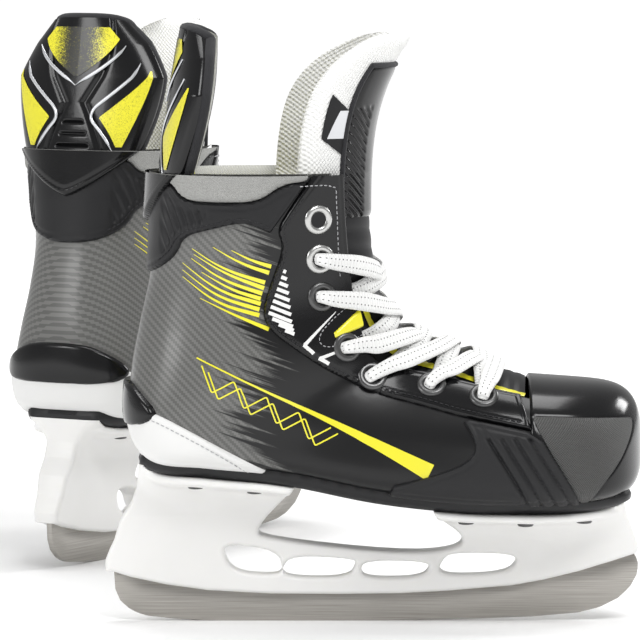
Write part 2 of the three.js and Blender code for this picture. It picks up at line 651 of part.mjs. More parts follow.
// The pair's own frame: the middle of what it covers, on the ice.
const pair = new THREE.Group();
pair.add(right, left);
pair.updateMatrixWorld(true);
const centre = new THREE.Box3().setFromObject(pair, true).getCenter(new THREE.Vector3());
pair.position.set(-centre.x, -centre.y, 0);
const skates = new THREE.Group();
skates.add(pair);
export default skates;
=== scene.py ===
# %% [markdown]
# # A pair of laced ice skates
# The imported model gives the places, the bodies and the joints. This file gives the looks.
# Every piece is drawn once in the frame of a right skate, in millimetres: the toe along +X, the outer
# side towards -Y and the ice at z = 0. A placing function then carries it to each skate of the pair,
# and the left skate gets the mirror image.

import math

import bpy
import numpy as np
from mathutils import Matrix, Vector


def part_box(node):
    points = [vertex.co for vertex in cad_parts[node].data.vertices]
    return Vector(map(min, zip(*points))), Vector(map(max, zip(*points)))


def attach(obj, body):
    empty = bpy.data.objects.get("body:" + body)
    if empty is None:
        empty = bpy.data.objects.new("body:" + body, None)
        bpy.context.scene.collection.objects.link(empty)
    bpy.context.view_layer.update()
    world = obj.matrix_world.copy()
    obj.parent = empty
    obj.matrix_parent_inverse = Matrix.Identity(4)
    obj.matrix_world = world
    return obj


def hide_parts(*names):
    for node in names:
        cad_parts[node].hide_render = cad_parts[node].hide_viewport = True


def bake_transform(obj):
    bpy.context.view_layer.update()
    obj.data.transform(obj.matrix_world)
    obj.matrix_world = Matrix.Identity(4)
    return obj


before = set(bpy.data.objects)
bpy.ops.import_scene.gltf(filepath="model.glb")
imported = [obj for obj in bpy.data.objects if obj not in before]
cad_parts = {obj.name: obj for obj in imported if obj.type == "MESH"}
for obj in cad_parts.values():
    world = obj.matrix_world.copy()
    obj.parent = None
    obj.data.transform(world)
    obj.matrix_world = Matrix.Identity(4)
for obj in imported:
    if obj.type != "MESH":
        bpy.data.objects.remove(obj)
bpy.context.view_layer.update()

# %% [markdown]
# The right skate's own frame is found from its runner, which starts 105.9 mm behind the frame's
# origin and is as thick on one side of it as on the other. The left skate stands turned towards +Y.

# %% The frames of the two skates
MM = 0.001
RUNNER_HEEL = -105.9
LEFT_TURN = math.radians(59)
LEFT_PLACE = Vector((-86.4, 252.8, 0)) * MM
runner_low, runner_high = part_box("right_runner")
right_origin = Vector((runner_low[0] - RUNNER_HEEL * MM, (runner_low[1] + runner_high[1]) / 2, 0))
FRAMES = {
    "right": Matrix.Translation(right_origin) @ Matrix.Scale(MM, 4),
    "left": Matrix.Translation(right_origin + LEFT_PLACE) @ Matrix.Rotation(LEFT_TURN, 4, "Z")
    @ Matrix.Scale(-1, 4, (0, 1, 0)) @ Matrix.Scale(MM, 4),
}
print("right skate's origin", [round(v, 4) for v in right_origin])

# %% [markdown]
# ## The camera, the lights and the world
# A long lens far away keeps the boot's proportions, as a product picture does. The camera stands
# beside the right skate, a little above it, and looks slightly down.

# %% Camera
LOOK_DOWN = 4.6  # degrees below level
CAMERA_STAND = Vector((-0.0214, -2.13, 0.295))  # from the right skate's origin, in metres
camera_data = bpy.data.cameras.new("camera")
camera_data.lens = 294
camera_data.sensor_width = 36
camera_data.clip_end = 20
camera = bpy.data.objects.new("camera", camera_data)
camera.location = right_origin + CAMERA_STAND
camera.rotation_euler = (math.radians(90 - LOOK_DOWN), 0, 0)
bpy.context.collection.objects.link(camera)
bpy.context.scene.camera = camera
print("camera at", [round(v, 3) for v in camera.location])

# %% [markdown]
# Four large area lamps give the broad, soft highlights of a studio. The world around them is white: it
# lights the skates gently, and a Light Path node lets it show as full white where nothing stands.

# %% Lights and world
LIT_BY_WORLD = 0.42  # what lights the skates
SEEN_WORLD = 1.0  # the plain white that shows behind them


def soft_light(name, place, aim, size, watts):
    data = bpy.data.lights.new(name, "AREA")
    data.size = size
    data.energy = watts
    lamp = bpy.data.objects.new(name, data)
    lamp.location = place
    lamp.rotation_euler = (Vector(aim) - Vector(place)).to_track_quat("-Z", "Y").to_euler()
    bpy.context.collection.objects.link(lamp)


soft_light("key", (0.5, -1.3, 1.5), (0, 0, 0.1), 0.8, 19)
soft_light("fill", (-1.4, -0.9, 0.8), (0, 0, 0.12), 0.6, 8)
soft_light("top", (0.0, 0.2, 1.7), (0, 0, 0), 0.9, 14)
soft_light("rim", (1.3, 0.7, 0.9), (0, 0, 0.12), 0.5, 10)

world = bpy.data.worlds.new("studio")
world.use_nodes = True
background = world.node_tree.nodes["Background"]
background.inputs["Color"].default_value = (1, 1, 1, 1)
seen = world.node_tree.nodes.new("ShaderNodeLightPath")
brightness = world.node_tree.nodes.new("ShaderNodeMapRange")
brightness.inputs["To Min"].default_value = LIT_BY_WORLD
brightness.inputs["To Max"].default_value = SEEN_WORLD
world.node_tree.links.new(seen.outputs["Is Camera Ray"], brightness.inputs["Value"])
world.node_tree.links.new(brightness.outputs[0], background.inputs["Strength"])
bpy.context.scene.world = world
bpy.context.scene.view_settings.view_transform = "Standard"

# %% [markdown]
# ## Shader helpers
# A material is a node tree. The helpers below add a node, join sockets and start a Principled BSDF,
# so that each material further on is only a few lines. Patterns that several materials share are
# node groups, which put out values only.

# %% Node helpers
def add(tree, kind, **values):
    node = tree.nodes.new(kind)
    for key, value in values.items():
        setattr(node, key, value)
    return node


def join(tree, source, target):
    tree.links.new(source, target)


def math_node(tree, operation, a, b=0.0):
    node = add(tree, "ShaderNodeMath", operation=operation)
    for socket, value in zip(node.inputs, (a, b)):
        if isinstance(value, (int, float)):
            socket.default_value = value
        else:
            join(tree, value, socket)
    return node.outputs[0]


def split(tree, vector):
    """The X, Y and Z of a vector, as sockets."""
    node = add(tree, "ShaderNodeSeparateXYZ")
    join(tree, vector, node.inputs[0])
    return node.outputs["X"], node.outputs["Y"], node.outputs["Z"]


def noise(tree, vector, detail, scale):
    node = add(tree, "ShaderNodeTexNoise")
    node.inputs["Detail"].default_value = detail
    if isinstance(scale, (int, float)):
        node.inputs["Scale"].default_value = scale
    else:
        join(tree, scale, node.inputs["Scale"])
    join(tree, vector, node.inputs["Vector"])
    return node.outputs["Fac"]


def new_group(name, inputs, outputs):
    group = bpy.data.node_groups.new(name, "ShaderNodeTree")
    for label, kind, default in inputs:
        socket = group.interface.new_socket(name=label, in_out="INPUT", socket_type=kind)
        socket.default_value = default
    for label, kind in outputs:
        group.interface.new_socket(name=label, in_out="OUTPUT", socket_type=kind)
    return group, add(group, "NodeGroupInput"), add(group, "NodeGroupOutput")


FLOAT = "NodeSocketFloat"
VECTOR = "NodeSocketVector"
print("sockets of the groups hold", FLOAT, "or", VECTOR)

# %% [markdown]
# The boot's printed carbon is a 2/2 twill: bands that step along a diagonal. Leather grain, cloth and
# felt are small bumps. Each group takes a scale and gives a mask or a height, so one group serves
# cloths of different fineness. Every piece carries an attribute, "flat", which is its place in the
# skate's own frame in millimetres, so patterns run with the skate however it stands.

# %% Pattern groups
twill, twill_in, twill_out = new_group(
    "twill_weave", [("Place", VECTOR, (0, 0, 0)), ("Cell", FLOAT, 2.4)], [("Mask", FLOAT), ("Height", FLOAT)])
cells = add(twill, "ShaderNodeVectorMath", operation="DIVIDE")
join(twill, twill_in.outputs["Place"], cells.inputs[0])
cell_size = add(twill, "ShaderNodeCombineXYZ")
for socket in cell_size.inputs:
    join(twill, twill_in.outputs["Cell"], socket)
join(twill, cell_size.outputs[0], cells.inputs[1])
cell_x, cell_y, cell_z = split(twill, cells.outputs[0])
diagonal = math_node(twill, "ADD", math_node(twill, "FLOOR", cell_x), math_node(twill, "FLOOR", cell_z))
over_or_under = math_node(twill, "MODULO", math_node(twill, "ADD", diagonal, 400), 4)
thread = math_node(twill, "SINE", math_node(twill, "MULTIPLY", cell_z, 18.8))
join(twill, math_node(twill, "LESS_THAN", over_or_under, 1.5), twill_out.inputs["Mask"])
join(twill, math_node(twill, "MULTIPLY_ADD", thread, 0.12), twill_out.inputs["Height"])

cloth, cloth_in, cloth_out = new_group(
    "cloth_weave", [("Place", VECTOR, (0, 0, 0)), ("Threads", FLOAT, 4.0)], [("Height", FLOAT), ("Fleck", FLOAT)])
cloth_x, cloth_y, cloth_z = split(cloth, cloth_in.outputs["Place"])
along = math_node(cloth, "MULTIPLY", math_node(cloth, "ADD", cloth_x, cloth_y), cloth_in.outputs["Threads"])
across = math_node(cloth, "MULTIPLY", cloth_z, cloth_in.outputs["Threads"])
woven = math_node(cloth, "MULTIPLY", math_node(cloth, "SINE", along), math_node(cloth, "SINE", across))
join(cloth, woven, cloth_out.inputs["Height"])
join(cloth, noise(cloth, cloth_in.outputs["Place"], 6, 1.4), cloth_out.inputs["Fleck"])

grain, grain_in, grain_out = new_group(
    "skin_grain", [("Place", VECTOR, (0, 0, 0)), ("Scale", FLOAT, 2.0)], [("Height", FLOAT), ("Smudge", FLOAT)])
pebble = noise(grain, grain_in.outputs["Place"], 4, grain_in.outputs["Scale"])
join(grain, pebble, grain_out.inputs["Height"])
join(grain, noise(grain, grain_in.outputs["Place"], 5, 0.05), grain_out.inputs["Smudge"])
print("groups", [g.name for g in bpy.data.node_groups])

# %% [markdown]
# Each material starts as a Principled BSDF with plain values on its sockets. Only what changes over
# the surface is linked: a colour or roughness from a pattern's mask, and a bump from its height.

# %% Starting a material
def place_node(tree):
    return add(tree, "ShaderNodeAttribute", attribute_name="flat").outputs["Vector"]


def use_group(tree, group, **values):
    node = add(tree, "ShaderNodeGroup", node_tree=group)
    join(tree, place_node(tree), node.inputs["Place"])
    for label, value in values.items():
        node.inputs[label].default_value = value
    return node


def ramp(tree, factor, low, high, low_at=0.0, high_at=1.0):
    node = add(tree, "ShaderNodeValToRGB")
    node.color_ramp.elements[0].position = low_at
    node.color_ramp.elements[1].position = high_at
    node.color_ramp.elements[0].color = (*low, 1)
    node.color_ramp.elements[1].color = (*high, 1)
    join(tree, factor, node.inputs["Fac"])
    return node.outputs["Color"]


def value_range(tree, factor, low, high, from_low=0.0, from_high=1.0):
    node = add(tree, "ShaderNodeMapRange")
    for label, value in (("From Min", from_low), ("From Max", from_high), ("To Min", low), ("To Max", high)):
        node.inputs[label].default_value = value
    join(tree, factor, node.inputs["Value"])
    return node.outputs[0]


def mix_color(tree, mask, under, over):
    """One colour over another where the mask is 1. Under is a socket and over a plain colour."""
    node = add(tree, "ShaderNodeMix", data_type="RGBA")
    join(tree, mask, node.inputs["Factor"])
    join(tree, under, node.inputs[6])
    node.inputs[7].default_value = (*over, 1)
    return node.outputs[2]


def new_material(name, color, rough, **sockets):
    material = bpy.data.materials.new(name)
    material.use_nodes = True
    tree = material.node_tree
    shader = tree.nodes["Principled BSDF"]
    shader.inputs["Base Color"].default_value = (*color, 1)
    shader.inputs["Roughness"].default_value = rough
    for label, value in sockets.items():
        shader.inputs[label.replace("_", " ")].default_value = value
    return material, tree, shader


def bump(tree, shader, height, distance, strength=0.5):
    node = add(tree, "ShaderNodeBump")
    node.inputs["Distance"].default_value = distance
    node.inputs["Strength"].default_value = strength
    join(tree, height, node.inputs["Height"])
    join(tree, node.outputs[0], shader.inputs["Normal"])


def moulded(name, color, rough, scale=2.5, depth=0.00004, **sockets):
    """A moulded or coated skin: a fine pebble, and a roughness that wanders where hands have been."""
    material, tree, shader = new_material(name, color, rough, **sockets)
    skin = use_group(tree, grain, Scale=scale)
    lighter = tuple(min(c * 1.15 + 0.001, c + 0.02) for c in color)
    join(tree, ramp(tree, skin.outputs["Smudge"], color, lighter, 0.35, 0.75), shader.inputs["Base Color"])
    join(tree, value_range(tree, skin.outputs["Smudge"], rough * 0.75, rough * 1.3), shader.inputs["Roughness"])
    bump(tree, shader, skin.outputs["Height"], depth)
    return material


def cloth_material(name, color, threads, depth=0.00012, fleck_by=1.5, **sockets):
    """A woven or felted cloth: threads over and under, flecks of lighter fibre, and a soft sheen."""
    material, tree, shader = new_material(name, color, 0.9, **sockets)
    weave = use_group(tree, cloth, Threads=threads)
    lighter = tuple(min(1, c * fleck_by) for c in color)
    join(tree, ramp(tree, weave.outputs["Fleck"], color, lighter, 0.35, 0.7), shader.inputs["Base Color"])
    bump(tree, shader, weave.outputs["Height"], depth, 0.7)
    return material


print("a skin and a cloth can be made from", grain.name, "and", cloth.name)

# %% [markdown]
# ## Finishes
# Colours come first as plain values. Gloss parts are polyurethane skins with a clear coat, so they
# take sharp highlights over a slightly soft base.

# %% Plain finishes
BLACK = (0.0035, 0.0035, 0.004)
YELLOW = (0.78, 0.72, 0.028)
gloss_black = moulded("gloss_black", BLACK, 0.17, Specular_IOR_Level=0.3, Coat_Weight=0.12,
                      Coat_Roughness=0.06)
satin_black = moulded("satin_black", (0.008, 0.008, 0.009), 0.42, 3.0, 0.00008, Specular_IOR_Level=0.3)
rubber_black = moulded("rubber_black", (0.01, 0.01, 0.011), 0.5, 4.0, 0.0001, Specular_IOR_Level=0.35)
sole_black = moulded("sole_black", (0.01, 0.01, 0.011), 0.4, 2.0, 0.00006, Specular_IOR_Level=0.35)
white_nylon = moulded("white_nylon", (0.8, 0.795, 0.78), 0.38, 1.5, 0.00003, Subsurface_Weight=0.08,
                      Subsurface_Radius=(0.004, 0.004, 0.003))
white_skin = moulded("white_skin", (0.74, 0.74, 0.73), 0.42, 3.0, 0.00008)
yellow_skin = moulded("yellow_skin", YELLOW, 0.3, 2.0, 0.00005, Coat_Weight=0.4)
speckled_yellow, tree, shader = new_material("speckled_yellow", YELLOW, 0.35, Coat_Weight=0.2)
speckle = use_group(tree, grain, Scale=2.6)
sideways = math_node(tree, "ABSOLUTE", split(tree, place_node(tree))[1])
outward = value_range(tree, sideways, -0.2, 0.14, 4, 15)
sprayed = math_node(tree, "ADD", speckle.outputs["Height"], outward)
join(tree, ramp(tree, sprayed, (0.012, 0.012, 0.01), YELLOW, 0.42, 0.6), shader.inputs["Base Color"])
bump(tree, shader, speckle.outputs["Height"], 0.00008)
silver_line = moulded("silver_line", (0.6, 0.61, 0.63), 0.3, 2.0, 0.00002, Metallic=0.7)
dark_metal = moulded("dark_metal", (0.1, 0.1, 0.1), 0.3, 2.0, 0.00003, Metallic=0.9)
grommet_metal = moulded("grommet_metal", (0.5, 0.5, 0.49), 0.26, 2.0, 0.00003, Metallic=1.0)
thread_black = cloth_material("thread_black", (0.02, 0.02, 0.022), 9.0)
thread_grey = cloth_material("thread_grey", (0.35, 0.35, 0.36), 9.0)
felt_white = cloth_material("felt_white", (0.8, 0.8, 0.785), 3.1, 0.0004, 1.1, Sheen_Weight=0.4)
edge_grey = cloth_material("edge_grey", (0.27, 0.27, 0.26), 6.0, 0.0001, 1.25)
foam_dark = cloth_material("foam_dark", (0.03, 0.03, 0.033), 4.0)
piping_black = cloth_material("piping_black", (0.012, 0.012, 0.014), 7.0, 0.0001, Sheen_Weight=0.1)
print("materials", len(bpy.data.materials))

# %% [markdown]
# Five finishes need more than a skin. The quarter's twill is grey at the heel and breaks into black
# streaks towards the toe. The liner is a yellow knit crossed by dark dashes, and light grey round the
# collar. The runner is ground along its length. The lace is a flat weave with two rows of dark tracer
# dots. The mesh in the toe cap is a waffle of small dark holes.

# %% The quarter's printed carbon
carbon, tree, shader = new_material("carbon_twill", (0.13, 0.13, 0.13), 0.32, Specular_IOR_Level=0.35,
                                    Coat_Weight=0.12, Coat_Roughness=0.12)
weave = use_group(tree, twill, Cell=0.85)
forth, sideways, upward = split(tree, place_node(tree))
stretch = add(tree, "ShaderNodeCombineXYZ")
lean = math_node(tree, "MULTIPLY", forth, 0.36)
tilted = math_node(tree, "ADD", upward, lean)
join(tree, math_node(tree, "MULTIPLY", forth, 0.012), stretch.inputs["X"])
join(tree, math_node(tree, "MULTIPLY", tilted, 0.62), stretch.inputs["Z"])
streaks = noise(tree, stretch.outputs[0], 3, 1.0)
broken = math_node(tree, "ADD", streaks, value_range(tree, forth, -0.35, 0.55, -78, -12))
black_part = value_range(tree, broken, 0.0, 1.0, 0.5, 0.62)
twill_color = ramp(tree, weave.outputs["Mask"], (0.098, 0.098, 0.094), (0.15, 0.15, 0.144))
join(tree, mix_color(tree, black_part, twill_color, BLACK), shader.inputs["Base Color"])
bump(tree, shader, weave.outputs["Height"], 0.00006, 0.4)
print(carbon.name, len(tree.nodes), "nodes")

# %% [markdown]
# The liner's knit is built as layers of masks: facets of two yellows from a Voronoi texture, rows of
# dark dashes along a wavy line, and a light grey zone where the liner rolls over the collar.

# %% The liner's knit
COLLAR_ZONE_LOW, COLLAR_ZONE_REAR = 166, -73
knit, tree, shader = new_material("yellow_knit", YELLOW, 0.85, Sheen_Weight=0.3)
forth, sideways, upward = split(tree, place_node(tree))
wave = math_node(tree, "SINE", math_node(tree, "MULTIPLY", forth, 0.35))
chevron = math_node(tree, "ADD", math_node(tree, "MULTIPLY", wave, 2.2), upward)
bands = math_node(tree, "SINE", math_node(tree, "MULTIPLY", chevron, 1.1))
dash = math_node(tree, "SINE", math_node(tree, "MULTIPLY", math_node(tree, "ADD", forth, sideways), 0.7))
dark = math_node(tree, "MULTIPLY", math_node(tree, "GREATER_THAN", bands, 0.86),
                 math_node(tree, "GREATER_THAN", dash, 0.2))
facets = add(tree, "ShaderNodeTexVoronoi")
facets.inputs["Scale"].default_value = 0.16
join(tree, place_node(tree), facets.inputs["Vector"])
facet_shade = split(tree, facets.outputs["Color"])[0]
yellows = ramp(tree, facet_shade, (0.33, 0.31, 0.02), (0.72, 0.67, 0.03), 0.3, 0.5)
dashed = mix_color(tree, dark, yellows, (0.03, 0.03, 0.02))
at_collar = math_node(tree, "MULTIPLY", math_node(tree, "GREATER_THAN", upward, COLLAR_ZONE_LOW),
                      math_node(tree, "GREATER_THAN", forth, COLLAR_ZONE_REAR))
join(tree, mix_color(tree, at_collar, dashed, (0.5, 0.5, 0.47)), shader.inputs["Base Color"])
fabric = use_group(tree, cloth, Threads=5.0)
bump(tree, shader, fabric.outputs["Height"], 0.00015, 0.7)
print(knit.name, len(tree.nodes), "nodes")

# %% [markdown]
# A ground blade has fine lines along its length. Noise that is stretched along the runner and squeezed
# upwards gives them, and it drives the colour, the roughness and a very shallow bump alike.

# %% The runner's ground steel
steel, tree, shader = new_material("ground_steel", (0.42, 0.4, 0.37), 0.32, Metallic=1.0)
forth, sideways, upward = split(tree, place_node(tree))
ground = add(tree, "ShaderNodeCombineXYZ")
join(tree, math_node(tree, "MULTIPLY", forth, 0.02), ground.inputs["X"])
join(tree, math_node(tree, "MULTIPLY", upward, 3.5), ground.inputs["Z"])
lines = noise(tree, ground.outputs[0], 6, 1.5)
join(tree, ramp(tree, lines, (0.3, 0.285, 0.262), (0.5, 0.48, 0.45), 0.3, 0.7), shader.inputs["Base Color"])
join(tree, value_range(tree, lines, 0.3, 0.5), shader.inputs["Roughness"])
bump(tree, shader, lines, 0.00003, 0.4)
print(steel.name, len(tree.nodes), "nodes")

# %% [markdown]
# The lace's pattern must follow the tape and not the skate, so it reads the attribute "strand", which
# the lace's cell writes: the way along the tape, and the way across it.

# %% The lace's weave and tracer
lace_cloth, tree, shader = new_material("lace_weave", (0.86, 0.86, 0.85), 0.85, Sheen_Weight=0.2)
strand = add(tree, "ShaderNodeAttribute", attribute_name="strand").outputs["Vector"]
lengthwise, crosswise = split(tree, strand)[:2]
braid = math_node(tree, "ABSOLUTE", crosswise)
braid_wave = math_node(tree, "SINE", math_node(tree, "ADD", math_node(tree, "MULTIPLY", lengthwise, 4.2),
                       math_node(tree, "MULTIPLY", braid, 3.0)))
off_track = math_node(tree, "ABSOLUTE", math_node(tree, "SUBTRACT", braid, 0.3))
dots = math_node(tree, "GREATER_THAN", math_node(tree, "SINE", math_node(tree, "MULTIPLY", lengthwise, 3.4)), 0.62)
tracer = math_node(tree, "MULTIPLY", math_node(tree, "LESS_THAN", off_track, 0.07), dots)
join(tree, ramp(tree, tracer, (0.78, 0.78, 0.77), (0.05, 0.05, 0.055)), shader.inputs["Base Color"])
bump(tree, shader, braid_wave, 0.00018, 0.8)
print(lace_cloth.name, len(tree.nodes), "nodes")

# %% [markdown]
# The mesh is a product of two sines, one upwards and one round the toe. Where both are high there is
# a hole, which is dark and sunk.

# %% The toe cap's side mesh
waffle, tree, shader = new_material("waffle_mesh", (0.16, 0.165, 0.17), 0.55)
forth, sideways, upward = split(tree, place_node(tree))
rows_of_holes = math_node(tree, "SINE", math_node(tree, "MULTIPLY", upward, 6.4))
lines_of_holes = math_node(tree, "SINE", math_node(tree, "MULTIPLY", math_node(tree, "ADD", forth, sideways), 5.2))
holes = math_node(tree, "MULTIPLY", rows_of_holes, lines_of_holes)
waffle_color = ramp(tree, holes, (0.075, 0.075, 0.073), (0.012, 0.012, 0.012), 0.15, 0.45)
join(tree, waffle_color, shader.inputs["Base Color"])
bump(tree, shader, math_node(tree, "MULTIPLY", holes, -1.0), 0.0002, 0.8)
print("materials", len(bpy.data.materials))

# %% [markdown]
# ## The boot's surface
# The boot is one swept surface. Each station is a section through a point on the back or sole and a
# point on the instep, round like a superellipse. A smooth curve runs through the stations, and ahead
# of the toe cap's rear edge the sections close in on the toe. Every overlay lies on this surface. A
# place on it is given by t, which counts stations from the collar to the toe, and by an angle round
# the section, which is 0 at the back or sole and pi at the instep.

# %% Stations and sections
COLLAR = 184
TOE_TIP = 108.5
TOE_START = 64
TOE_MIDDLE = 73
# sole or back x, z, instep x, z, half width, place of the widest point, squareness at sole, at instep
STATIONS = np.array([
    (-88.4, COLLAR, -3, COLLAR, 38.5, 0.5, 2.3, 2.2),
    (-89.4, 165, -1.5, 162, 36, 0.5, 2.3, 2.2),
    (-90.8, 143, 1, 142, 33.5, 0.5, 2.3, 2.2),
    (-95, 123, 5, 130, 33.5, 0.48, 2.4, 2.2),
    (-98.6, 103, 11, 121.5, 35.5, 0.42, 2.5, 2.1),
    (-99, 84, 17, 117.5, 36, 0.38, 3, 2),
    (-90.5, 68.6, 23, 115, 34.5, 0.34, 4, 2),
    (-68, 65.6, 29, 113, 33.5, 0.34, 5, 2),
    (-36, 62.6, 35, 111, 34, 0.36, 6, 2),
    (2, 55.4, 43, 107.5, 38, 0.4, 6, 2.1),
    (36, 52, 53, 103.5, 41.5, 0.42, 6, 2.2),
    (TOE_START, 51.3, TOE_START, 100, 42.5, 0.42, 5, 2.4),
])
TOE_AT = len(STATIONS) - 1
TIP_AT = len(STATIONS)
FACING_EDGE = 2.42


def sections(t):
    """The eight numbers of the section at each t."""
    padded = np.vstack([2 * STATIONS[0] - STATIONS[1], STATIONS, 2 * STATIONS[-1] - STATIONS[-2]])
    i = np.clip(np.floor(t).astype(int), 0, TOE_AT - 1)
    f = (np.minimum(t, TOE_AT) - i)[:, None]
    a, b, c, d = (padded[i + k] for k in range(4))
    made = 0.5 * (2 * b + (c - a) * f + (2 * a - 5 * b + 4 * c - d) * f**2 + (3 * b - a - 3 * c + d) * f**3)
    toe = t > TOE_AT
    s = np.sin(np.clip(t[toe] - TOE_AT, 0, 1) * np.pi / 2)
    last = STATIONS[-1]
    close = np.cbrt(1 - s**8)
    x = TOE_START + (TOE_TIP - TOE_START) * s
    made[toe, 0] = made[toe, 2] = x
    made[toe, 1] = TOE_MIDDLE - (TOE_MIDDLE - last[1] - 3 * s * s) * close
    made[toe, 3] = TOE_MIDDLE + (last[3] - 3 * s - TOE_MIDDLE) * close
    made[toe, 4] = last[4] * (1 - s**2.4) ** (1 / 2.2)
    made[toe, 5:] = last[5:]
    return made


def surface(t, angle):
    """Points of the boot; the angle is 0 at the sole or back and pi at the instep, positive outside."""
    t, angle = np.broadcast_arrays(np.asarray(t, float), np.asarray(angle, float))
    shape = t.shape
    t, angle = t.ravel(), (angle.ravel() + np.pi) % (2 * np.pi) - np.pi
    s = sections(t)
    low = np.abs(angle) < np.pi / 2
    power = 2 / np.where(low, s[:, 6], s[:, 7])
    along = np.abs(np.cos(angle)) ** power
    up = np.where(low, s[:, 5] * (1 - along), s[:, 5] + (1 - s[:, 5]) * along)
    y = -np.sign(angle) * s[:, 4] * np.abs(np.sin(angle)) ** power
    x = s[:, 0] + (s[:, 2] - s[:, 0]) * up
    z = s[:, 1] + (s[:, 3] - s[:, 1]) * up
    return np.stack([x, y, z], -1).reshape(*shape, 3)


def normals(t, angle):
    t, angle = np.broadcast_arrays(np.asarray(t, float), np.asarray(angle, float))
    h = 0.02
    along = surface(np.minimum(t + h, TIP_AT), angle) - surface(t - h, angle)
    round_it = surface(t, angle + h) - surface(t, angle - h)
    n = np.cross(along, round_it)
    n[t > TIP_AT - 0.03] = (1, 0, 0)
    return n / np.maximum(np.linalg.norm(n, axis=-1, keepdims=True), 1e-9)


def on_boot(t, angle, distance=0.0):
    return surface(t, angle) + normals(t, angle) * np.asarray(distance)[..., None]


print("collar back", surface(0.0, 0.0), "toe", surface(float(TIP_AT), 1.0))

# %% [markdown]
# The lower half of a foot section is nearly square, so equal steps of angle would bunch at its
# corners. A table of lengths round the sections gives angles at equal distances instead, and another
# measure along the side of the boot gives evenly spaced sections.

# %% Even steps over the surface
table_t = np.linspace(-1.5, TIP_AT, 271)
table_a = np.concatenate([np.pi / 4 * (1 - np.cos(np.linspace(0, np.pi, 160))),
                          np.pi / 2 + np.pi / 2 * np.linspace(0.02, 1, 50)])
table_points = surface(table_t[:, None], np.maximum(table_a, 1e-7)[None, :])
table_length = np.concatenate([np.zeros((len(table_t), 1)), np.cumsum(
    np.linalg.norm(np.diff(table_points, axis=1), axis=2), axis=1)], 1)


def even_angles(t, low, high, count):
    """For each t, count angles from low to high at equal distances round the section."""
    share = np.linspace(0, 1, count)
    rows = []
    for place in t:
        row = np.clip(np.interp(place, table_t, np.arange(len(table_t))), 0, len(table_t) - 1.001)
        k = int(row)
        lengths = table_length[k] * (1 - row + k) + table_length[k + 1] * (row - k)
        ends = [np.sign(a) * np.interp(abs(a), table_a, lengths) for a in (low, high)]
        at = ends[0] + (ends[1] - ends[0]) * share
        rows.append(np.sign(at) * np.interp(np.abs(at), lengths, table_a))
    return np.array(rows)


def even_rows(low, high, step):
    """Values of t that lie one step apart along the side of the boot."""
    fine = np.linspace(low, high, 600)
    line = surface(fine, 1.0)
    far = np.cumsum(np.linalg.norm(np.diff(line, axis=0, prepend=line[:1]), axis=1))
    return np.interp(np.linspace(0, far[-1], max(4, int(far[-1] / step))), far, fine)


print("sections a centimetre apart", len(even_rows(0, TIP_AT, 10)))

# %% [markdown]
# ## From grids to pieces
# An overlay is a patch of the surface, trimmed to an outline in the side view and raised by a height.
# The outline's distance field does both jobs: cells are cut where it passes zero, and the height
# rises with it, so each patch gets a rolled edge and seams at a set distance from its border.

# %% Placing a piece on both skates
# A piece that stands for an imported node hides that node.
BENDS = {"tongue_top": ((-10, 0, 176), (-10, 0, 200)), "guard": ((-85, 0, 184), (-85, 0, 206))}
SHARP_ANGLE = math.radians(50)


def rides_on(piece, hand, part):
    """A tongue or guard piece is left on its own in the world; everything else rides whole on its body."""
    if part in BENDS:
        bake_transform(piece)
    else:
        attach(piece, f"{hand}_{part}")


def place_piece(name, points, faces, material, part="boot", replaces=(), extra=None, fill=None):
    """Makes the piece for both skates. The faces of the mirrored one are turned round. A padded piece
    gives its fill, from slack (0) to tight (1), but fill is not used."""
    points = np.asarray(points, float)
    for hand, matrix in FRAMES.items():
        m = np.array(matrix)
        world_points = points @ m[:3, :3].T + m[:3, 3]
        turned = faces if hand == "right" else [tuple(reversed(f)) for f in faces]
        mesh = bpy.data.meshes.new(f"{hand}_{name}_look")
        mesh.from_pydata(world_points.tolist(), [], turned)
        flat = mesh.attributes.new("flat", "FLOAT_VECTOR", "POINT")
        flat.data.foreach_set("vector", points.astype(np.float32).ravel())
        for label, values in (extra or {}).items():
            attribute = mesh.attributes.new(label, "FLOAT_VECTOR", "POINT")
            attribute.data.foreach_set("vector", np.asarray(values, np.float32).ravel())
        mesh.materials.append(material)
        mesh.polygons.foreach_set("use_smooth", [True] * len(mesh.polygons))
        mesh.update()
        piece = bpy.data.objects.new(f"{hand}_{name}_look", mesh)
        bpy.context.collection.objects.link(piece)
        mesh.set_sharp_from_angle(angle=SHARP_ANGLE)
        rides_on(piece, hand, part)
        if replaces:
            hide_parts(*[f"{hand}_{node}" for node in replaces])
    print(name, len(points), "points")


# %% [markdown]
# An outline is a short list of corners in the side view, rounded by cutting them. Its field is
# positive inside it and negative outside, so it can both trim a grid and tell how far the edge is.

# %% Outlines and their distance fields
def smooth(outline, times=2, closed=True):
    """Rounds an outline's corners by cutting them, twice by default."""
    p = np.asarray(outline, float)
    for _ in range(times):
        following = np.roll(p, -1, 0) if closed else p[1:]
        before = p if closed else p[:-1]
        cut = np.stack([before * 0.75 + following * 0.25, before * 0.25 + following * 0.75], 1).reshape(-1, 2)
        p = cut if closed else np.vstack([p[:1], cut, p[-1:]])
    return p


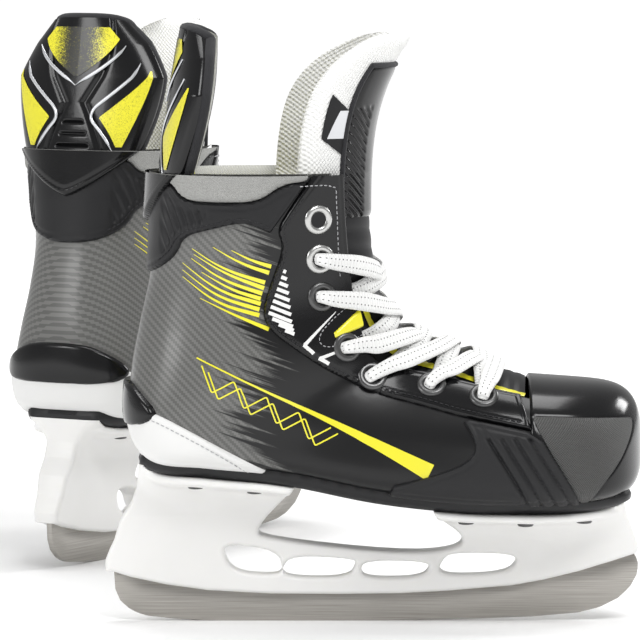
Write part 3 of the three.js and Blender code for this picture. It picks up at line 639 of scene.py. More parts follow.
def inside_by(outline):
    """A function of x and z: how far a point lies inside the outline, negative outside it."""
    a = np.asarray(outline, float)
    b = np.roll(a, -1, 0)

    def field(x, z):
        x, z = np.asarray(x, float), np.asarray(z, float)
        best = np.full(x.shape, 1e9)
        crossings = np.zeros(x.shape, int)
        for (ax, az), (bx, bz) in zip(a, b):
            dx, dz = bx - ax, bz - az
            f = np.clip(((x - ax) * dx + (z - az) * dz) / max(dx * dx + dz * dz, 1e-9), 0, 1)
            best = np.minimum(best, np.hypot(x - ax - f * dx, z - az - f * dz))
            if abs(dz) > 1e-9:
                crossings += ((az > z) != (bz > z)) & (x < ax + (z - az) / dz * dx)
        return np.where(crossings % 2 == 1, best, -best)

    return field


def clip_grid(values, keep):
    """Cuts a grid of quads where keep passes zero. values holds the numbers of each corner."""
    rows, cols = keep.shape
    flat_values = values.reshape(rows * cols, -1)
    keeps = keep.ravel()
    index = np.arange(rows * cols).reshape(rows, cols)
    quads = np.stack([index[:-1, :-1], index[:-1, 1:], index[1:, 1:], index[1:, :-1]], -1).reshape(-1, 4)
    count = (keeps[quads] > 0).sum(1)
    faces = [tuple(q) for q in quads[count == 4].tolist()]
    added, known = [], {}

    def crossing(i, j):
        key = (min(i, j), max(i, j))
        if key not in known:
            f = keeps[i] / (keeps[i] - keeps[j])
            added.append(flat_values[i] + (flat_values[j] - flat_values[i]) * f)
            known[key] = rows * cols + len(added) - 1
        return known[key]

    for quad in quads[(count > 0) & (count < 4)].tolist():
        ring = []
        for i, j in zip(quad, quad[1:] + quad[:1]):
            if keeps[i] > 0:
                ring.append(i)
            if (keeps[i] > 0) != (keeps[j] > 0):
                ring.append(crossing(i, j))
        if len(ring) > 2:
            faces.append(tuple(ring))
    everything = np.vstack([flat_values, np.array(added)]) if added else flat_values
    used = np.unique([i for f in faces for i in f])
    renumber = np.full(len(everything), -1)
    renumber[used] = np.arange(len(used))
    return everything[used], [tuple(int(renumber[i]) for i in f) for f in faces]


square_field = inside_by([(0, 0), (2, 0), (2, 2), (0, 2)])
print("depth in the middle of a square of 2 mm", float(square_field(1.0, 1.0)))


# %% [markdown]
# A trimmed grid has open edges. A skirt walls them off where the piece is thick, as in the holder, and
# a patch puts the whole recipe together: even grid, trim, and a raise along the normals.

# %% Skirts and patches
ROW_STEP = 1.15  # millimetres between rows for each unit of step
ANGLE_REACH = 46  # columns for each radian


def with_skirt(points, faces, moved):
    """Adds a wall from every open edge to where moved puts its two points."""
    count = {}
    for f in faces:
        for a, b in zip(f, f[1:] + f[:1]):
            count[(a, b)] = count.get((a, b), 0) + 1
    open_edges = [e for e in count if (e[1], e[0]) not in count]
    ends = sorted({i for e in open_edges for i in e})
    copy_of = {i: len(points) + k for k, i in enumerate(ends)}
    walls = [(b, a, copy_of[a], copy_of[b]) for a, b in open_edges]
    return np.vstack([points, moved[ends]]), list(faces) + walls


def patch(name, t_range, angle_range, height, material, field=None, step=1.1, flip=False, trim=None, **places):
    """A trimmed and raised piece of the boot's surface. height(x, z, edge, t, angle) is in millimetres.
    field(x, z) trims it in the side view, and trim(z, angle) round the ankle."""
    rows = even_rows(*t_range, ROW_STEP * step)
    cols = max(4, int((angle_range[1] - angle_range[0]) * ANGLE_REACH / step))
    angle = even_angles(rows, *angle_range, cols)
    t = np.broadcast_to(rows[:, None], angle.shape)
    p, n = surface(t, angle), normals(t, angle)
    edge = field(p[..., 0], p[..., 2]) if field else np.full(t.shape, 50.0)
    if trim:
        edge = np.minimum(edge, trim(p[..., 2], angle))
    grid = np.concatenate([p, n, edge[..., None], t[..., None], angle[..., None]], -1)
    v, faces = clip_grid(grid, edge)
    lift = height(v[:, 0], v[:, 2], np.maximum(v[:, 6], 0), v[:, 7], v[:, 8])
    points = v[:, :3] + v[:, 3:6] * np.asarray(lift)[:, None]
    if not flip:
        faces = [tuple(reversed(f)) for f in faces]
    place_piece(name, points, faces, material, **places)


def rolled(thickness, radius=1.0):
    """A height that rises from the border in a quarter round and then stays level."""
    def height(x, z, edge, t, angle):
        return thickness * np.sqrt(1 - (1 - np.clip(edge / radius, 0, 1)) ** 2)
    return height


# %% [markdown]
# ## Lines, threads and tubes on the boot
# Seams and printed lines follow places given in the side view. The nearest point of a fine grid of
# the surface is looked up for each, so a line is written as a few corners and still lies on the boot.

# %% Finding a side-view place on the surface
look_a = even_angles(np.linspace(0, TIP_AT - 0.02, 800), 0, np.pi, 360)
look_t = np.broadcast_to(np.linspace(0, TIP_AT - 0.02, 800)[:, None], look_a.shape)
look_points = surface(look_t, look_a)[..., [0, 2]].reshape(-1, 2)
look_t, look_a = look_t.ravel(), look_a.ravel()


def along_of(line):
    """How far each point of a line lies along it."""
    return np.concatenate([[0], np.cumsum(np.linalg.norm(np.diff(line, axis=0), axis=1))])


def ahead_of(line):
    """The line's direction at each of its points."""
    ahead = np.gradient(line, axis=0)
    return ahead / np.maximum(np.linalg.norm(ahead, axis=1, keepdims=True), 1e-9)


def locate(places):
    """The t and angle of side-view places, each the mean of the four nearest grid points."""
    found = []
    for place in np.asarray(places, float):
        far = ((look_points - place) ** 2).sum(1)
        near = np.argpartition(far, 4)[:4]
        weight = 1 / (far[near] + 1e-3)
        found.append(((look_t[near] * weight).sum() / weight.sum(), (look_a[near] * weight).sum() / weight.sum()))
    return np.array(found).T


def spaced(places, step, closed=False):
    """The same line with a point every step millimetres."""
    p = np.asarray(places, float)
    if closed:
        p = np.vstack([p, p[:1]])
    along = along_of(p)
    at = np.linspace(0, along[-1], max(2, int(round(along[-1] / step)) + 1))
    return np.stack([np.interp(at, along, p[:, k]) for k in range(p.shape[1])], 1)


def line_on_boot(places, side, lift, step=1.5):
    """Points and normals along a side-view line, on the lateral (1) or medial (-1) side."""
    t, a = locate(spaced(places, step))
    line, ups = on_boot(t, side * a, lift), normals(t, side * a)
    for _ in range(2):
        line[1:-1] = line[:-2] / 4 + line[1:-1] / 2 + line[2:] / 4
        ups[1:-1] = ups[:-2] / 4 + ups[1:-1] / 2 + ups[2:] / 4
    return line, ups


print("look-up grid", len(look_points))

# %% [markdown]
# Runners, rings, laces and threads are all rows of points joined by quads. One builder gathers many
# of them into one piece, a sweep makes the rings of a tube or tape, and stitches are short tubes.

# %% Tubes, tapes and stitches
class Builder:
    """Gathers points and faces of many small shapes into one piece."""

    def __init__(self):
        self.points, self.faces = [], []

    def grid(self, rows, close_ring=True, cap=True):
        rows = np.asarray(rows, float)
        start, wide = len(self.points), rows.shape[1]
        self.points.extend(rows.reshape(-1, 3).tolist())
        for r in range(len(rows) - 1):
            for c in range(wide if close_ring else wide - 1):
                a, b = start + r * wide + c, start + r * wide + (c + 1) % wide
                self.faces.append((a, b, b + wide, a + wide))
        if cap and close_ring:
            self.faces.append(tuple(range(start + wide - 1, start - 1, -1)))
            last = start + (len(rows) - 1) * wide
            self.faces.append(tuple(range(last, last + wide)))

    def place(self, name, material, **places):
        place_piece(name, self.points, self.faces, material, **places)


def sweep(points, ups, wide, high, sides=10, square=2.0):
    """Rings of a flat or round section along a line. wide and high may change along it."""
    points, ups = np.asarray(points, float), np.asarray(ups, float)
    ahead = ahead_of(points)
    out = np.cross(ahead, ups)
    out /= np.maximum(np.linalg.norm(out, axis=1, keepdims=True), 1e-9)
    up = np.cross(out, ahead)
    turn = np.linspace(0, 2 * np.pi, sides, endpoint=False)
    c, s = np.cos(turn), np.sin(turn)
    c, s = np.sign(c) * np.abs(c) ** (2 / square), np.sign(s) * np.abs(s) ** (2 / square)
    wide, high = np.broadcast_to(wide, len(points)), np.broadcast_to(high, len(points))
    return (points[:, None] + out[:, None] * (c[None, :, None] * wide[:, None, None] / 2)
            + up[:, None] * (s[None, :, None] * high[:, None, None] / 2))


def stitches(builder, points, ups, pitch=2.3, length=1.6, thick=0.42):
    """Short threads laid one after the other along a line."""
    points, ups = np.asarray(points), np.asarray(ups)
    along = along_of(points)
    for start in np.arange(pitch / 2, along[-1] - length, pitch):
        at = start + np.array([0, 0.2, 0.8, 1.0]) * length
        centre = np.stack([np.interp(at, along, points[:, k]) for k in range(3)], 1)
        up = np.stack([np.interp(at, along, ups[:, k]) for k in range(3)], 1)
        centre = centre + up * (np.array([-0.15, 0.12, 0.12, -0.15]) * thick)[:, None]
        taper = thick * np.array([0.5, 1, 1, 0.5])
        builder.grid(sweep(centre, up, taper, taper, 6))


SIDES = {"lateral": 1, "medial": -1}
tried = Builder()
tried.grid(sweep([(0, 0, 0), (1, 0, 0)], [(0, 0, 1)] * 2, 1, 1))
print("a tube of two rings has", len(tried.faces), "faces")

# %% [markdown]
# ## The runner and the holder
# The runner is one ground plate. The holder is moulded nylon: a blade along the runner, two posts
# that flare into flanges under the sole, a big window between them and four slots in the blade. It is
# drawn as a relief in the side view, mirrored, so its edges roll where the outline ends.

# %% Runner
RUNNER_BOTTOM = [
    (-105.9, 20.4), (-105.4, 13), (-103.4, 8.4), (-100.2, 5.3), (-96.5, 3.3), (-92.4, 2), (-80, 0.7), (-67.6, 0),
    (-32, 0), (3, 0), (43.9, 0.8), (66, 1.7), (84.3, 3.3), (93, 5.4), (101, 9.4), (105.8, 14), (108.8, 19.6),
    (109, 24), (107.6, 28.2),
]
SEAM = [
    (107.6, 28.2), (96, 24.4), (84.3, 20.8), (70, 17.2), (57.3, 14.9), (30, 12.6), (11.2, 11.6), (-14, 11.3),
    (-41.4, 11.5), (-67.6, 12.9), (-84, 15.2), (-99, 18.4), (-105.9, 20.6),
]
HIDDEN_DEPTH = 3
runner_outline = np.array(RUNNER_BOTTOM + [(x, z + HIDDEN_DEPTH) for x, z in SEAM[1:-1]])


def plate(builder, outline, half, bevel=0.25):
    """An upright plate with its edges eased, from a side-view outline."""
    p = np.asarray(outline, float)
    ahead = np.roll(p, -1, 0) - np.roll(p, 1, 0)
    ahead /= np.linalg.norm(ahead, axis=1, keepdims=True)
    inward = np.stack([-ahead[:, 1], ahead[:, 0]], 1) * bevel
    rings = [(p + inward, -half), (p, -half + bevel), (p, half - bevel), (p + inward, half)]
    builder.grid([np.stack([q[:, 0], np.full(len(q), y), q[:, 1]], 1) for q, y in rings])


RUNNER_HALF = 1.5
runner = Builder()
plate(runner, spaced(runner_outline, 2.5, True)[:-1], RUNNER_HALF)
runner_low_z = min(p[2] for p in runner.points)
runner.place("runner", steel, replaces=["runner"])
print("lowest point of the runner", runner_low_z)

# %% [markdown]
# The holder's half width is worked out from the height: a narrow blade below, a web that widens
# towards the sole, and a flange just under it. Every place of a side-view grid is moved out by it.

# %% Holder
HOLDER_ROLL = 1.6  # radius of the rolled edges
WINDOW = smooth([(-30.5, 60), (-33.5, 54), (-48, 38.5), (-44, 34.2), (11.2, 28.4), (34.5, 30), (38.2, 35.5),
                 (24, 45.5), (22.7, 60)], 2)
SLOTS = [
    smooth([(-61.5, 29.5), (-57.5, 32.3), (-39, 29.4), (-36.3, 21), (-40, 19), (-57, 20.3)], 2),
    smooth([(-33, 27.4), (-8, 26), (-6.3, 24), (-9.5, 18), (-34, 18), (-37.5, 21.5)], 2),
    smooth([(-3, 25.2), (20, 25), (24.3, 22.8), (20, 18), (-2, 17.8), (-5, 21)], 2),
    smooth([(29, 26), (33, 28.5), (56, 28.2), (60, 25.4), (55, 20), (33, 18.8), (27, 21)], 2),
]
HOLDER_REAR = [(-109.2, 20.9), (-109.3, 25.3), (-107.6, 29.5), (-105.9, 33), (-103.4, 41.5), (-98.6, 49),
               (-96.3, 56), (-95, 68)]
HOLDER_FRONT = [(103, 62), (101.6, 52.5), (104.6, 43), (107.4, 35.5), (108.9, 31), (108.2, 28.4)]
holder_outline = np.array(HOLDER_REAR + HOLDER_FRONT + SEAM)
in_holder = inside_by(holder_outline)
in_window = inside_by(WINDOW)
in_slots = [inside_by(s) for s in SLOTS]
sole_t = np.linspace(5.4, 11.9, 160)
sole_points = surface(sole_t, 0.0)
OUTSOLE_DEPTH = 5.0


def sole_height(x):
    """Height of the outsole's underside along the skate."""
    return np.interp(x, sole_points[:, 0], sole_points[:, 2]) - OUTSOLE_DEPTH


def flange_half(x):
    """Half the width of the holder's flanges, seen from above."""
    heel = 27 * np.sqrt(np.clip(1 - (np.clip(-62 - x, 0, 40) / 36) ** 2.4, 0, 1))
    toe = 33 * np.sqrt(np.clip(1 - (np.clip(x - 58, 0, 60) / 46) ** 2.6, 0, 1))
    return np.where(x < 0, heel, toe)


def holder_half(x, z):
    below = np.clip(sole_height(x) - z, 0, 60)
    blade = 5.4 + 0.09 * np.clip(z - 14, 0, 30)
    web = np.clip(1 - below / 17, 0, 1) ** 2.3 * 11
    lip = 1 / (1 + np.exp((below - 3.8) / 0.45))
    body = blade + web
    return body + (np.maximum(flange_half(x), body) - body) * lip


hx, hz = np.meshgrid(np.linspace(-110, 109.5, 300), np.linspace(10.5, 66, 110), indexing="ij")
keep = np.minimum(in_holder(hx, hz), sole_height(hx) + 0.5 - hz)
for in_hole in [in_window, *in_slots]:
    keep = np.minimum(keep, -in_hole(hx, hz))
for label, side in SIDES.items():
    v, faces = clip_grid(np.stack([hx, hz, keep], -1), keep)
    rim = np.sqrt(1 - (1 - np.clip(v[:, 2] / HOLDER_ROLL, 0, 1)) ** 2)
    half = holder_half(v[:, 0], v[:, 1])
    points = np.stack([v[:, 0], -side * (half - HOLDER_ROLL * (1 - rim)), v[:, 1]], 1)
    points, faces = with_skirt(points, faces, points * (1, 0, 1))
    if label == "medial":
        faces = [tuple(reversed(f)) for f in faces]
    stands_for = ["holder"] if label == "lateral" else ()
    place_piece(f"holder_side_{label}", points, faces, white_nylon, replaces=stands_for)

# %% [markdown]
# Rivets hold the flanges to the sole. Each is a small dark button, turned from a profile of radius
# and height, and seen from the side only as a thin oval.

# %% Holder's rivets
RIVETS = [(-72, 15), (-48, 15), (38, 19), (62, 22), (86, 17)]  # x and distance to each side
RIVET_BELOW_SOLE = 4.1
RIVET_PROFILE = ((3.3, -1.0), (3.3, 0.3), (2.9, 0.8), (1.8, 1.0), (1.6, 0.6), (0.2, 0.5))
rivets = Builder()
rivet_turn = np.linspace(0, 2 * np.pi, 16, endpoint=False)
for x, side_y in RIVETS:
    z = float(sole_height(x)) - RIVET_BELOW_SOLE
    for side in SIDES.values():
        rivets.grid([[(x + r * math.cos(a), side * side_y + r * math.sin(a), z - h) for a in rivet_turn]
                     for r, h in RIVET_PROFILE])
rivets.place("flange_rivets", dark_metal)

# %% [markdown]
# ## The outsole and the quarters
# The outsole is a rigid black cup under the boot. The quarter shell is one printed skin from the
# collar to the toe cap, open along the instep. The padded liner lies inside it and the footbed on its
# bottom, and both face inwards.

# %% Outsole
OUTSOLE_REAR, OUTSOLE_FRONT = -99.5, 108.8
LIP_HEIGHT = 1.4
LIP_LIMIT_TOE, LIP_LIMIT_HEEL = 55.5, 69.5
SOLE_LINE = surface(np.linspace(5.3, 11.97, 120), 0.0)[:, [0, 2]]
SOLE_LINE[:, 1] = np.minimum(SOLE_LINE[:, 1], np.where(SOLE_LINE[:, 0] > TOE_START, LIP_LIMIT_TOE, LIP_LIMIT_HEEL))


def above_sole(x, z):
    """How far a place lies above the line where the outsole's lip ends."""
    return z - np.interp(x, SOLE_LINE[:, 0], SOLE_LINE[:, 1]) - LIP_HEIGHT


def in_outsole(x, z):
    return np.minimum(-above_sole(x, z), np.minimum(x - OUTSOLE_REAR, OUTSOLE_FRONT - x))


def outsole_height(x, z, edge, t, angle):
    return 4.8 * np.clip(edge / 0.8, 0, 1) ** 0.4


patch("outsole", (4.6, 11.98), (-1.9, 1.9), outsole_height, sole_black, in_outsole, step=1.0, replaces=["outsole"])

# %% [markdown]
# The quarter needs no relief of its own, so its height is zero. The liner's height is negative, which
# puts it inside the boot, and it is thicker where the real one has ankle pads.

# %% Quarter shell, liner and footbed
FOOTBED_DEPTH = 8.2
patch("quarter", (0.0, TOE_AT + 0.02), (-FACING_EDGE, FACING_EDGE), lambda x, z, edge, t, angle: 0 * x, carbon,
      step=1.0, replaces=["quarter_shell"])


def padding(x, z, edge, t, angle):
    """The liner is thickest behind the ankle bone, thin along the foot and rolled at the collar."""
    ankle = 3.0 * np.exp(-((t - 2.0) / 1.3) ** 2) * np.clip(1 - np.abs(np.abs(angle) - 1.3) / 1.0, 0, 1)
    roll = np.sqrt(1 - (1 - np.clip((t + 0.05) / 0.35, 0, 1)) ** 2)
    return -(1.2 + (3.8 + ankle) * roll)


patch("liner", (-0.05, TOE_AT - 0.1), (-2.3, 2.3), padding, knit, step=2.0, flip=True, replaces=["liner"],
      fill=0.5)
patch("footbed", (6.2, TOE_AT - 0.4), (-0.8, 0.8), lambda x, z, edge, t, angle: 0 * x - FOOTBED_DEPTH, foam_dark,
      step=2.5, flip=True, replaces=["footbed"], fill=0.3)

# %% [markdown]
# ## Toe cap
# The toe cap is a glossy polyurethane cup with a matt mesh set into each side. Its rear edge stands
# proud of the quarters, and the mesh sits in a shallow recess.

# %% Toe cap
CAP_PROUD, MESH_RECESS = 1.5, 0.5
MESH_OUTLINE = smooth([(63, 87.5), (65, 87.5), (85, 86.8), (103.5, 86), (105, 83), (103, 76), (98.6, 67.5),
                       (91, 58), (85.6, 51.6), (84, 51.6), (71, 73)], 2)
in_mesh = inside_by(MESH_OUTLINE)


def cap_height(x, z, edge, t, angle):
    lip = np.clip((t - TOE_AT + 0.06) / 0.05, 0, 1)
    recess = np.clip(in_mesh(x, z) / 0.9, 0, 1)
    return CAP_PROUD * np.sqrt(lip) - MESH_RECESS * recess


def mesh_height(x, z, edge, t, angle):
    return 1.12 + 0.25 * np.sqrt(np.clip(edge / 1.2, 0, 1))


patch("toe_cap", (TOE_AT - 0.06, TIP_AT - 0.003), (-np.pi, np.pi), cap_height, gloss_black, step=0.8,
      replaces=["toe_cap"])
patch("toe_mesh", (TOE_AT - 0.02, TIP_AT - 0.02), (-2.2, 2.2), mesh_height, waffle, in_mesh, step=0.8)

# %% [markdown]
# ## Overlays of the boot
# From the back: a ribbed strap under the collar with a soft grey edge over it, a white wrap around
# the heel with a glossy patch above it, the eyelet facings along the instep, and a ribbed rubber
# panel on each side of the forefoot. Neighbours share their edges.

# %% Shared edges
FACING_REAR = smooth([
    (-16, 195), (-27, 181.5), (-34, 171), (-39, 162.9), (-36, 155.6), (-41.4, 141), (-45, 129.5), (-41.8, 122),
    (-30.4, 113.5), (-17, 104.5), (1.8, 95.6), (19.4, 91.6), (35.3, 87.3), (65.5, 81.6)], 2, False)
STRAP_LOW = smooth([
    (-110, 139), (-92.9, 142), (-79.5, 151), (-76.5, 159.6), (-66, 162.6), (-53.3, 165.7), (-48, 164.3),
    (-41.4, 161.4)], 2, False)
STRAP_HIGH = smooth([
    (-110, 180), (-85.5, 180.4), (-80.6, 181.4), (-76.1, 174.2), (-63, 173.6), (-46, 174), (-37, 181),
    (-26.4, 182.4)], 2, False)
HEEL_TOP = smooth([
    (-112, 92), (-95, 90), (-86, 87.5), (-75, 82), (-64.7, 76.3), (-52, 69.4), (-39.8, 63)], 2, False)


def seam_line(edge, inward, wide=0.45):
    """A dent that follows the border at a distance, where the threads of a seam lie."""
    return np.exp(-((edge - inward) / wide) ** 2)


print("corners of the shared edges", [len(e) for e in (FACING_REAR, STRAP_LOW, STRAP_HIGH, HEEL_TOP)])

# %% [markdown]
# The strap is satin rubber with slanted ribs behind the ankle. The comfort edge above it is a soft
# roll, so its rounding is as deep as the edge is thick.

# %% Collar strap and comfort edge
RIB_PITCH, RIBS_FRONT = 3.0, -66
in_strap = inside_by(np.vstack([STRAP_LOW, STRAP_HIGH[::-1]]))


def strap_height(x, z, edge, t, angle):
    ribs = 0.5 + 0.5 * np.cos((x * 0.95 + z * 0.32) * 2 * np.pi / RIB_PITCH)
    behind = np.clip((RIBS_FRONT - x) / 1.5, 0, 1) * np.clip((np.abs(angle) - 0.5) / 0.1, 0, 1)
    middle = np.clip((edge - 3.0) / 0.8, 0, 1) * behind
    return rolled(1.9)(x, z, edge, t, angle) - 1.1 * ribs * middle - 0.35 * seam_line(edge, 2.2)


patch("collar_strap", (-0.05, 3.6), (-FACING_EDGE, FACING_EDGE), strap_height, satin_black, in_strap, step=0.8,
      replaces=["collar_strap"])
edge_outline = np.vstack([STRAP_HIGH, [(-26.4, 190), (-110, 190)]])
patch("comfort_edge", (-0.04, 1.2), (-FACING_EDGE, FACING_EDGE), rolled(2.6, 2.5), edge_grey,
      inside_by(edge_outline), step=1.0, replaces=["comfort_edge"], fill=0.5)

# %% [markdown]
# The wrap is white leather that ends in a point along the sole. The patch over it is a glossy moulding
# and stands a millimetre prouder.

# %% Heel wrap and heel patch
in_wrap = inside_by(np.vstack([HEEL_TOP, [(-39.8, 40), (-112, 40)]]))


def wrap_height(x, z, edge, t, angle):
    return rolled(1.7)(x, z, edge, t, angle) - 0.3 * seam_line(edge, 2.6, 0.4)


patch("heel_wrap", (3.6, 9.2), (-1.9, 1.9), wrap_height, white_skin,
      lambda x, z: np.minimum(in_wrap(x, z), above_sole(x, z) + 0.6), step=0.8, replaces=["heel_wrap"])
PATCH_OUTLINE = smooth([(-115, 104), (-99, 101), (-93.5, 95.5), (-86.5, 88.5), (-90, 83.5), (-98, 82),
                        (-115, 82)], 2)
patch("heel_patch", (2.8, 6.2), (-1.4, 1.4), rolled(2.7, 1.4), gloss_black, inside_by(PATCH_OUTLINE), step=0.7,
      replaces=["heel_patch"])

# %% [markdown]
# The facing is bounded in the side view at the rear, and by an angle along the opening of the boot.
# Its height takes the nearer of the two borders, so both roll off alike.

# %% Eyelet facings
FACING_FRONT = 62.5
FACING_TOP = 2.4  # how far the facing stands above the boot
INSTEP_RADIUS = 30  # turns an angle at the instep into millimetres
facing_outline = np.vstack([FACING_REAR[FACING_REAR[:, 0] < FACING_FRONT],
                            [(64, 81.8), (57.5, 101), (57, 140), (0, 195)]])
in_facing = inside_by(facing_outline)


def facing_height(x, z, edge, t, angle):
    to_opening = (FACING_EDGE - np.abs(angle)) * INSTEP_RADIUS
    both = np.minimum(edge, np.maximum(to_opening, 0))
    return rolled(FACING_TOP, 1.3)(x, z, both, t, angle) - 0.35 * seam_line(both, 2.0, 0.4)


for label, side in SIDES.items():
    patch(f"facing_{label}", (-0.03, TOE_AT - 0.01), sorted((side * 1.3, side * FACING_EDGE)), facing_height,
          gloss_black, in_facing, step=0.7, replaces=[f"facing_{label}"])

# %% [markdown]
# The panel carries four slanted grooves. A groove is a dent where the distance along the panel's
# front normal has a set value, so all four stay parallel to its front edge.

# %% Rubber side panels
PANEL = [(35.4, 86.6), (50, 83.9), (66.5, 80.6), (74, 69), (85, 51), (88, 45), (6, 45), (6, 59), (14.4, 61.3),
         (27.4, 64.9), (37.8, 69.4), (41.6, 75), (39.5, 81)]
GROOVE_TOP = 79.5
FRONT_NORMAL = (0.846, 0.534)
GROOVES = (81.2, 85.8, 90.4, 95.4)
in_panel = inside_by(smooth(PANEL, 1))


def panel_height(x, z, edge, t, angle):
    reach = x * FRONT_NORMAL[0] + z * FRONT_NORMAL[1]
    grooves = sum(seam_line(reach, g, 0.75) for g in GROOVES) * np.clip((GROOVE_TOP - z) / 0.8, 0, 1)
    swell = 0.5 * np.clip((reach - GROOVES[0]) / 1.2, 0, 1)
    return rolled(2.3)(x, z, edge, t, angle) + swell - 1.15 * grooves - 0.3 * seam_line(edge, 2.2)


for label, side in SIDES.items():
    patch(f"side_panel_{label}", (8.8, TIP_AT - 0.2), sorted((side * 0.2, side * 2.0)), panel_height, rubber_black,
          lambda x, z: np.minimum(in_panel(x, z), above_sole(x, z)), step=0.7, replaces=[f"side_panel_{label}"])

# %% [markdown]
# ## Seams and printed lines
# Seams are rows of short threads that follow a shared edge at a distance. Printed streaks and accents
# are thin ribbons that lie a hair above the surface. The streaks thin out towards the heel, so their
# width grows along the way.

# %% Seams
dark_seams, light_seams = Builder(), Builder()


def seam(builder, places, lift, step=1.2, **sizes):
    for side in SIDES.values():
        points, ups = line_on_boot(places, side, lift, step)
        stitches(builder, points, ups, **sizes)


def inset(outline, distance):
    """An open line moved to its right by a distance."""
    p = np.asarray(outline, float)
    ahead = ahead_of(p)
    return p + np.stack([ahead[:, 1], -ahead[:, 0]], 1) * distance


def stretch_of(line, rear, front):
    """The points of a line between two places along the skate."""
    return line[(line[:, 0] > rear) & (line[:, 0] < front)]


facing_edge = stretch_of(FACING_REAR, -100, 61)
seam(dark_seams, inset(facing_edge[facing_edge[:, 1] < 180], -2.0), 2.35)
seam(light_seams, inset(stretch_of(HEEL_TOP, -93, -43), 2.6), 1.65)
seam(dark_seams, inset(stretch_of(STRAP_LOW, -86, -41), -2.2), 1.8)
for g in GROOVES:
    groove = [((g - FRONT_NORMAL[1] * z) / FRONT_NORMAL[0], z) for z in (78.5, 55.5)]
    seam(dark_seams, groove, 1.75)
dark_seams.place("dark_seams", thread_black)
light_seams.place("light_seams", thread_grey)


# %% [markdown]
# Prints are ribbons a quarter of a millimetre above the skin, and those on the facing lie above it by
# its own thickness. The zigzag and the hatch are worked out by a rule instead of by lists of points.

# %% Printed streaks and accents
def ribbon(builder, places, side, lift, wide, step=1.5):
    """A thin printed line. wide is one width or one for each share of the way along."""
    points, ups = line_on_boot(places, side, lift, step)
    share = np.linspace(0, 1, len(points))
    width = wide(share) if callable(wide) else np.full(len(points), float(wide))
    out = np.cross(ahead_of(points), ups)
    out /= np.linalg.norm(out, axis=1, keepdims=True)
    half = out * width[:, None] / 2
    rows = np.stack([points - half, points, points + half], 1)
    builder.grid(rows if side < 0 else rows[:, ::-1], close_ring=False)


yellow_prints, white_prints = Builder(), Builder()
PRINT_LIFT = 0.25
FACING_LIFT = 2.65
# Each streak's thin end, its bend and its thick end, from the top one down.
STREAKS = [
    [(-57, 154.5), (-49, 150.3), (-41, 147.9)],
    [(-64.4, 155.6), (-52.8, 148.9), (-41.9, 145.4)],
    [(-72.9, 154.9), (-60.6, 146.8), (-43.5, 141.4)],
    [(-72.2, 152.6), (-59.2, 144.7), (-43.9, 139.2)],
    [(-73.2, 150.9), (-60.6, 142.2), (-44.6, 137)],
    [(-69, 145.4), (-57.1, 138.4), (-45.3, 134.9)],
    [(-76.7, 148.9), (-62.7, 138), (-45.3, 132.8)],
    [(-76.7, 146.1), (-62.7, 135.4), (-45.8, 130.6)],
    [(-76.7, 143.3), (-62.7, 132.7), (-45.8, 128.2)],
    [(-69.7, 134.9), (-55.7, 128.2), (-42, 122.6)],
]
WEDGE_TOP = [(-71, 111), (-35, 93.6), (-14, 83.8), (6, 74), (23, 65.2)]
ZIGZAG_START, ZIGZAG_CORNERS = (-69, 108), 9
# White hatch between the facing's edge and a line that leans forward, and two white hooks below it.
HATCH_TOP, HATCH_LOW, HATCH_PITCH = 146.5, 121, 2.45
HATCH_BEND = 128.5  # below this height the hatch narrows to a point
HOOKS = [([(-16, 129.2), (-22, 122.6), (-28.1, 116)], [(-28.4, 116.2), (-24.4, 112.7)]),
         ([(-5.4, 116.6), (-14, 113.6), (-22.2, 110.7)], [(-22.4, 110.9), (-18.4, 108.5)])]


def zigzag(shift):
    """Corners that step forward and down in turn, moved diagonally by shift."""
    start_x, start_z = ZIGZAG_START
    return [(start_x + 13 * (k // 2) + 4 * (k % 2) + shift, start_z - 6.3 * (k // 2) - 11 * (k % 2) - shift)
            for k in range(ZIGZAG_CORNERS)]


def hatch_line(z):
    rear_x = -36.2 - 6.1 * (147 - z) / 18.5 if z > HATCH_BEND else -42.3 + 1.02 * (HATCH_BEND - z)
    front_x = -35.4 + 3.6 * (147 - z) / 26.6
    return [(rear_x, z), (front_x, z - 0.42 * (front_x - rear_x))]


for side in SIDES.values():
    for streak in STREAKS:
        ribbon(yellow_prints, smooth(streak, 3, False), side, PRINT_LIFT, lambda share: 0.25 + 1.5 * share**1.2)
    ribbon(yellow_prints, smooth(WEDGE_TOP, 2, False), side, PRINT_LIFT, lambda share: 0.6 + 6.4 * share**2.4)
    for shift in (0, 2.6):
        ribbon(yellow_prints, zigzag(shift), side, PRINT_LIFT, 0.6, 0.6)
    for z in np.arange(HATCH_TOP, HATCH_LOW, -HATCH_PITCH):
        ribbon(white_prints, hatch_line(z), side, FACING_LIFT, 1.45, 0.5)
    for shank, foot in HOOKS:
        ribbon(white_prints, shank, side, FACING_LIFT, lambda share: 0.3 + 1.2 * share, 0.8)
        ribbon(white_prints, foot, side, FACING_LIFT, 1.5, 0.8)
yellow_prints.place("yellow_prints", yellow_skin)
white_prints.place("white_prints", white_skin)

# %% [markdown]
# A soft yellow wedge under the facing's edge lets the ankle bend. It is a small patch raised above the
# facing, and light threads frame it and run up the facing beside the eyelets.

# %% Flex gusset
GUSSET = smooth([(-20.5, 117), (-5, 131.5), (-3.8, 133.6), (1.5, 126), (-3, 123.2)], 1)
GUSSET_FRAME = smooth([(-7.2, 135.5), (-12.1, 130.6), (-17, 126.4), (-23.3, 119), (-20.5, 114.4), (-10, 117),
                       (0.5, 122.4)], 2, False)
FACING_CORNER = smooth([(-31, 180.5), (-20, 181), (-16.5, 179.5)], 1, False)
facing_threads = Builder()


def gusset_height(x, z, edge, t, angle):
    return 2.3 + rolled(0.9, 1.4)(x, z, edge, t, angle)


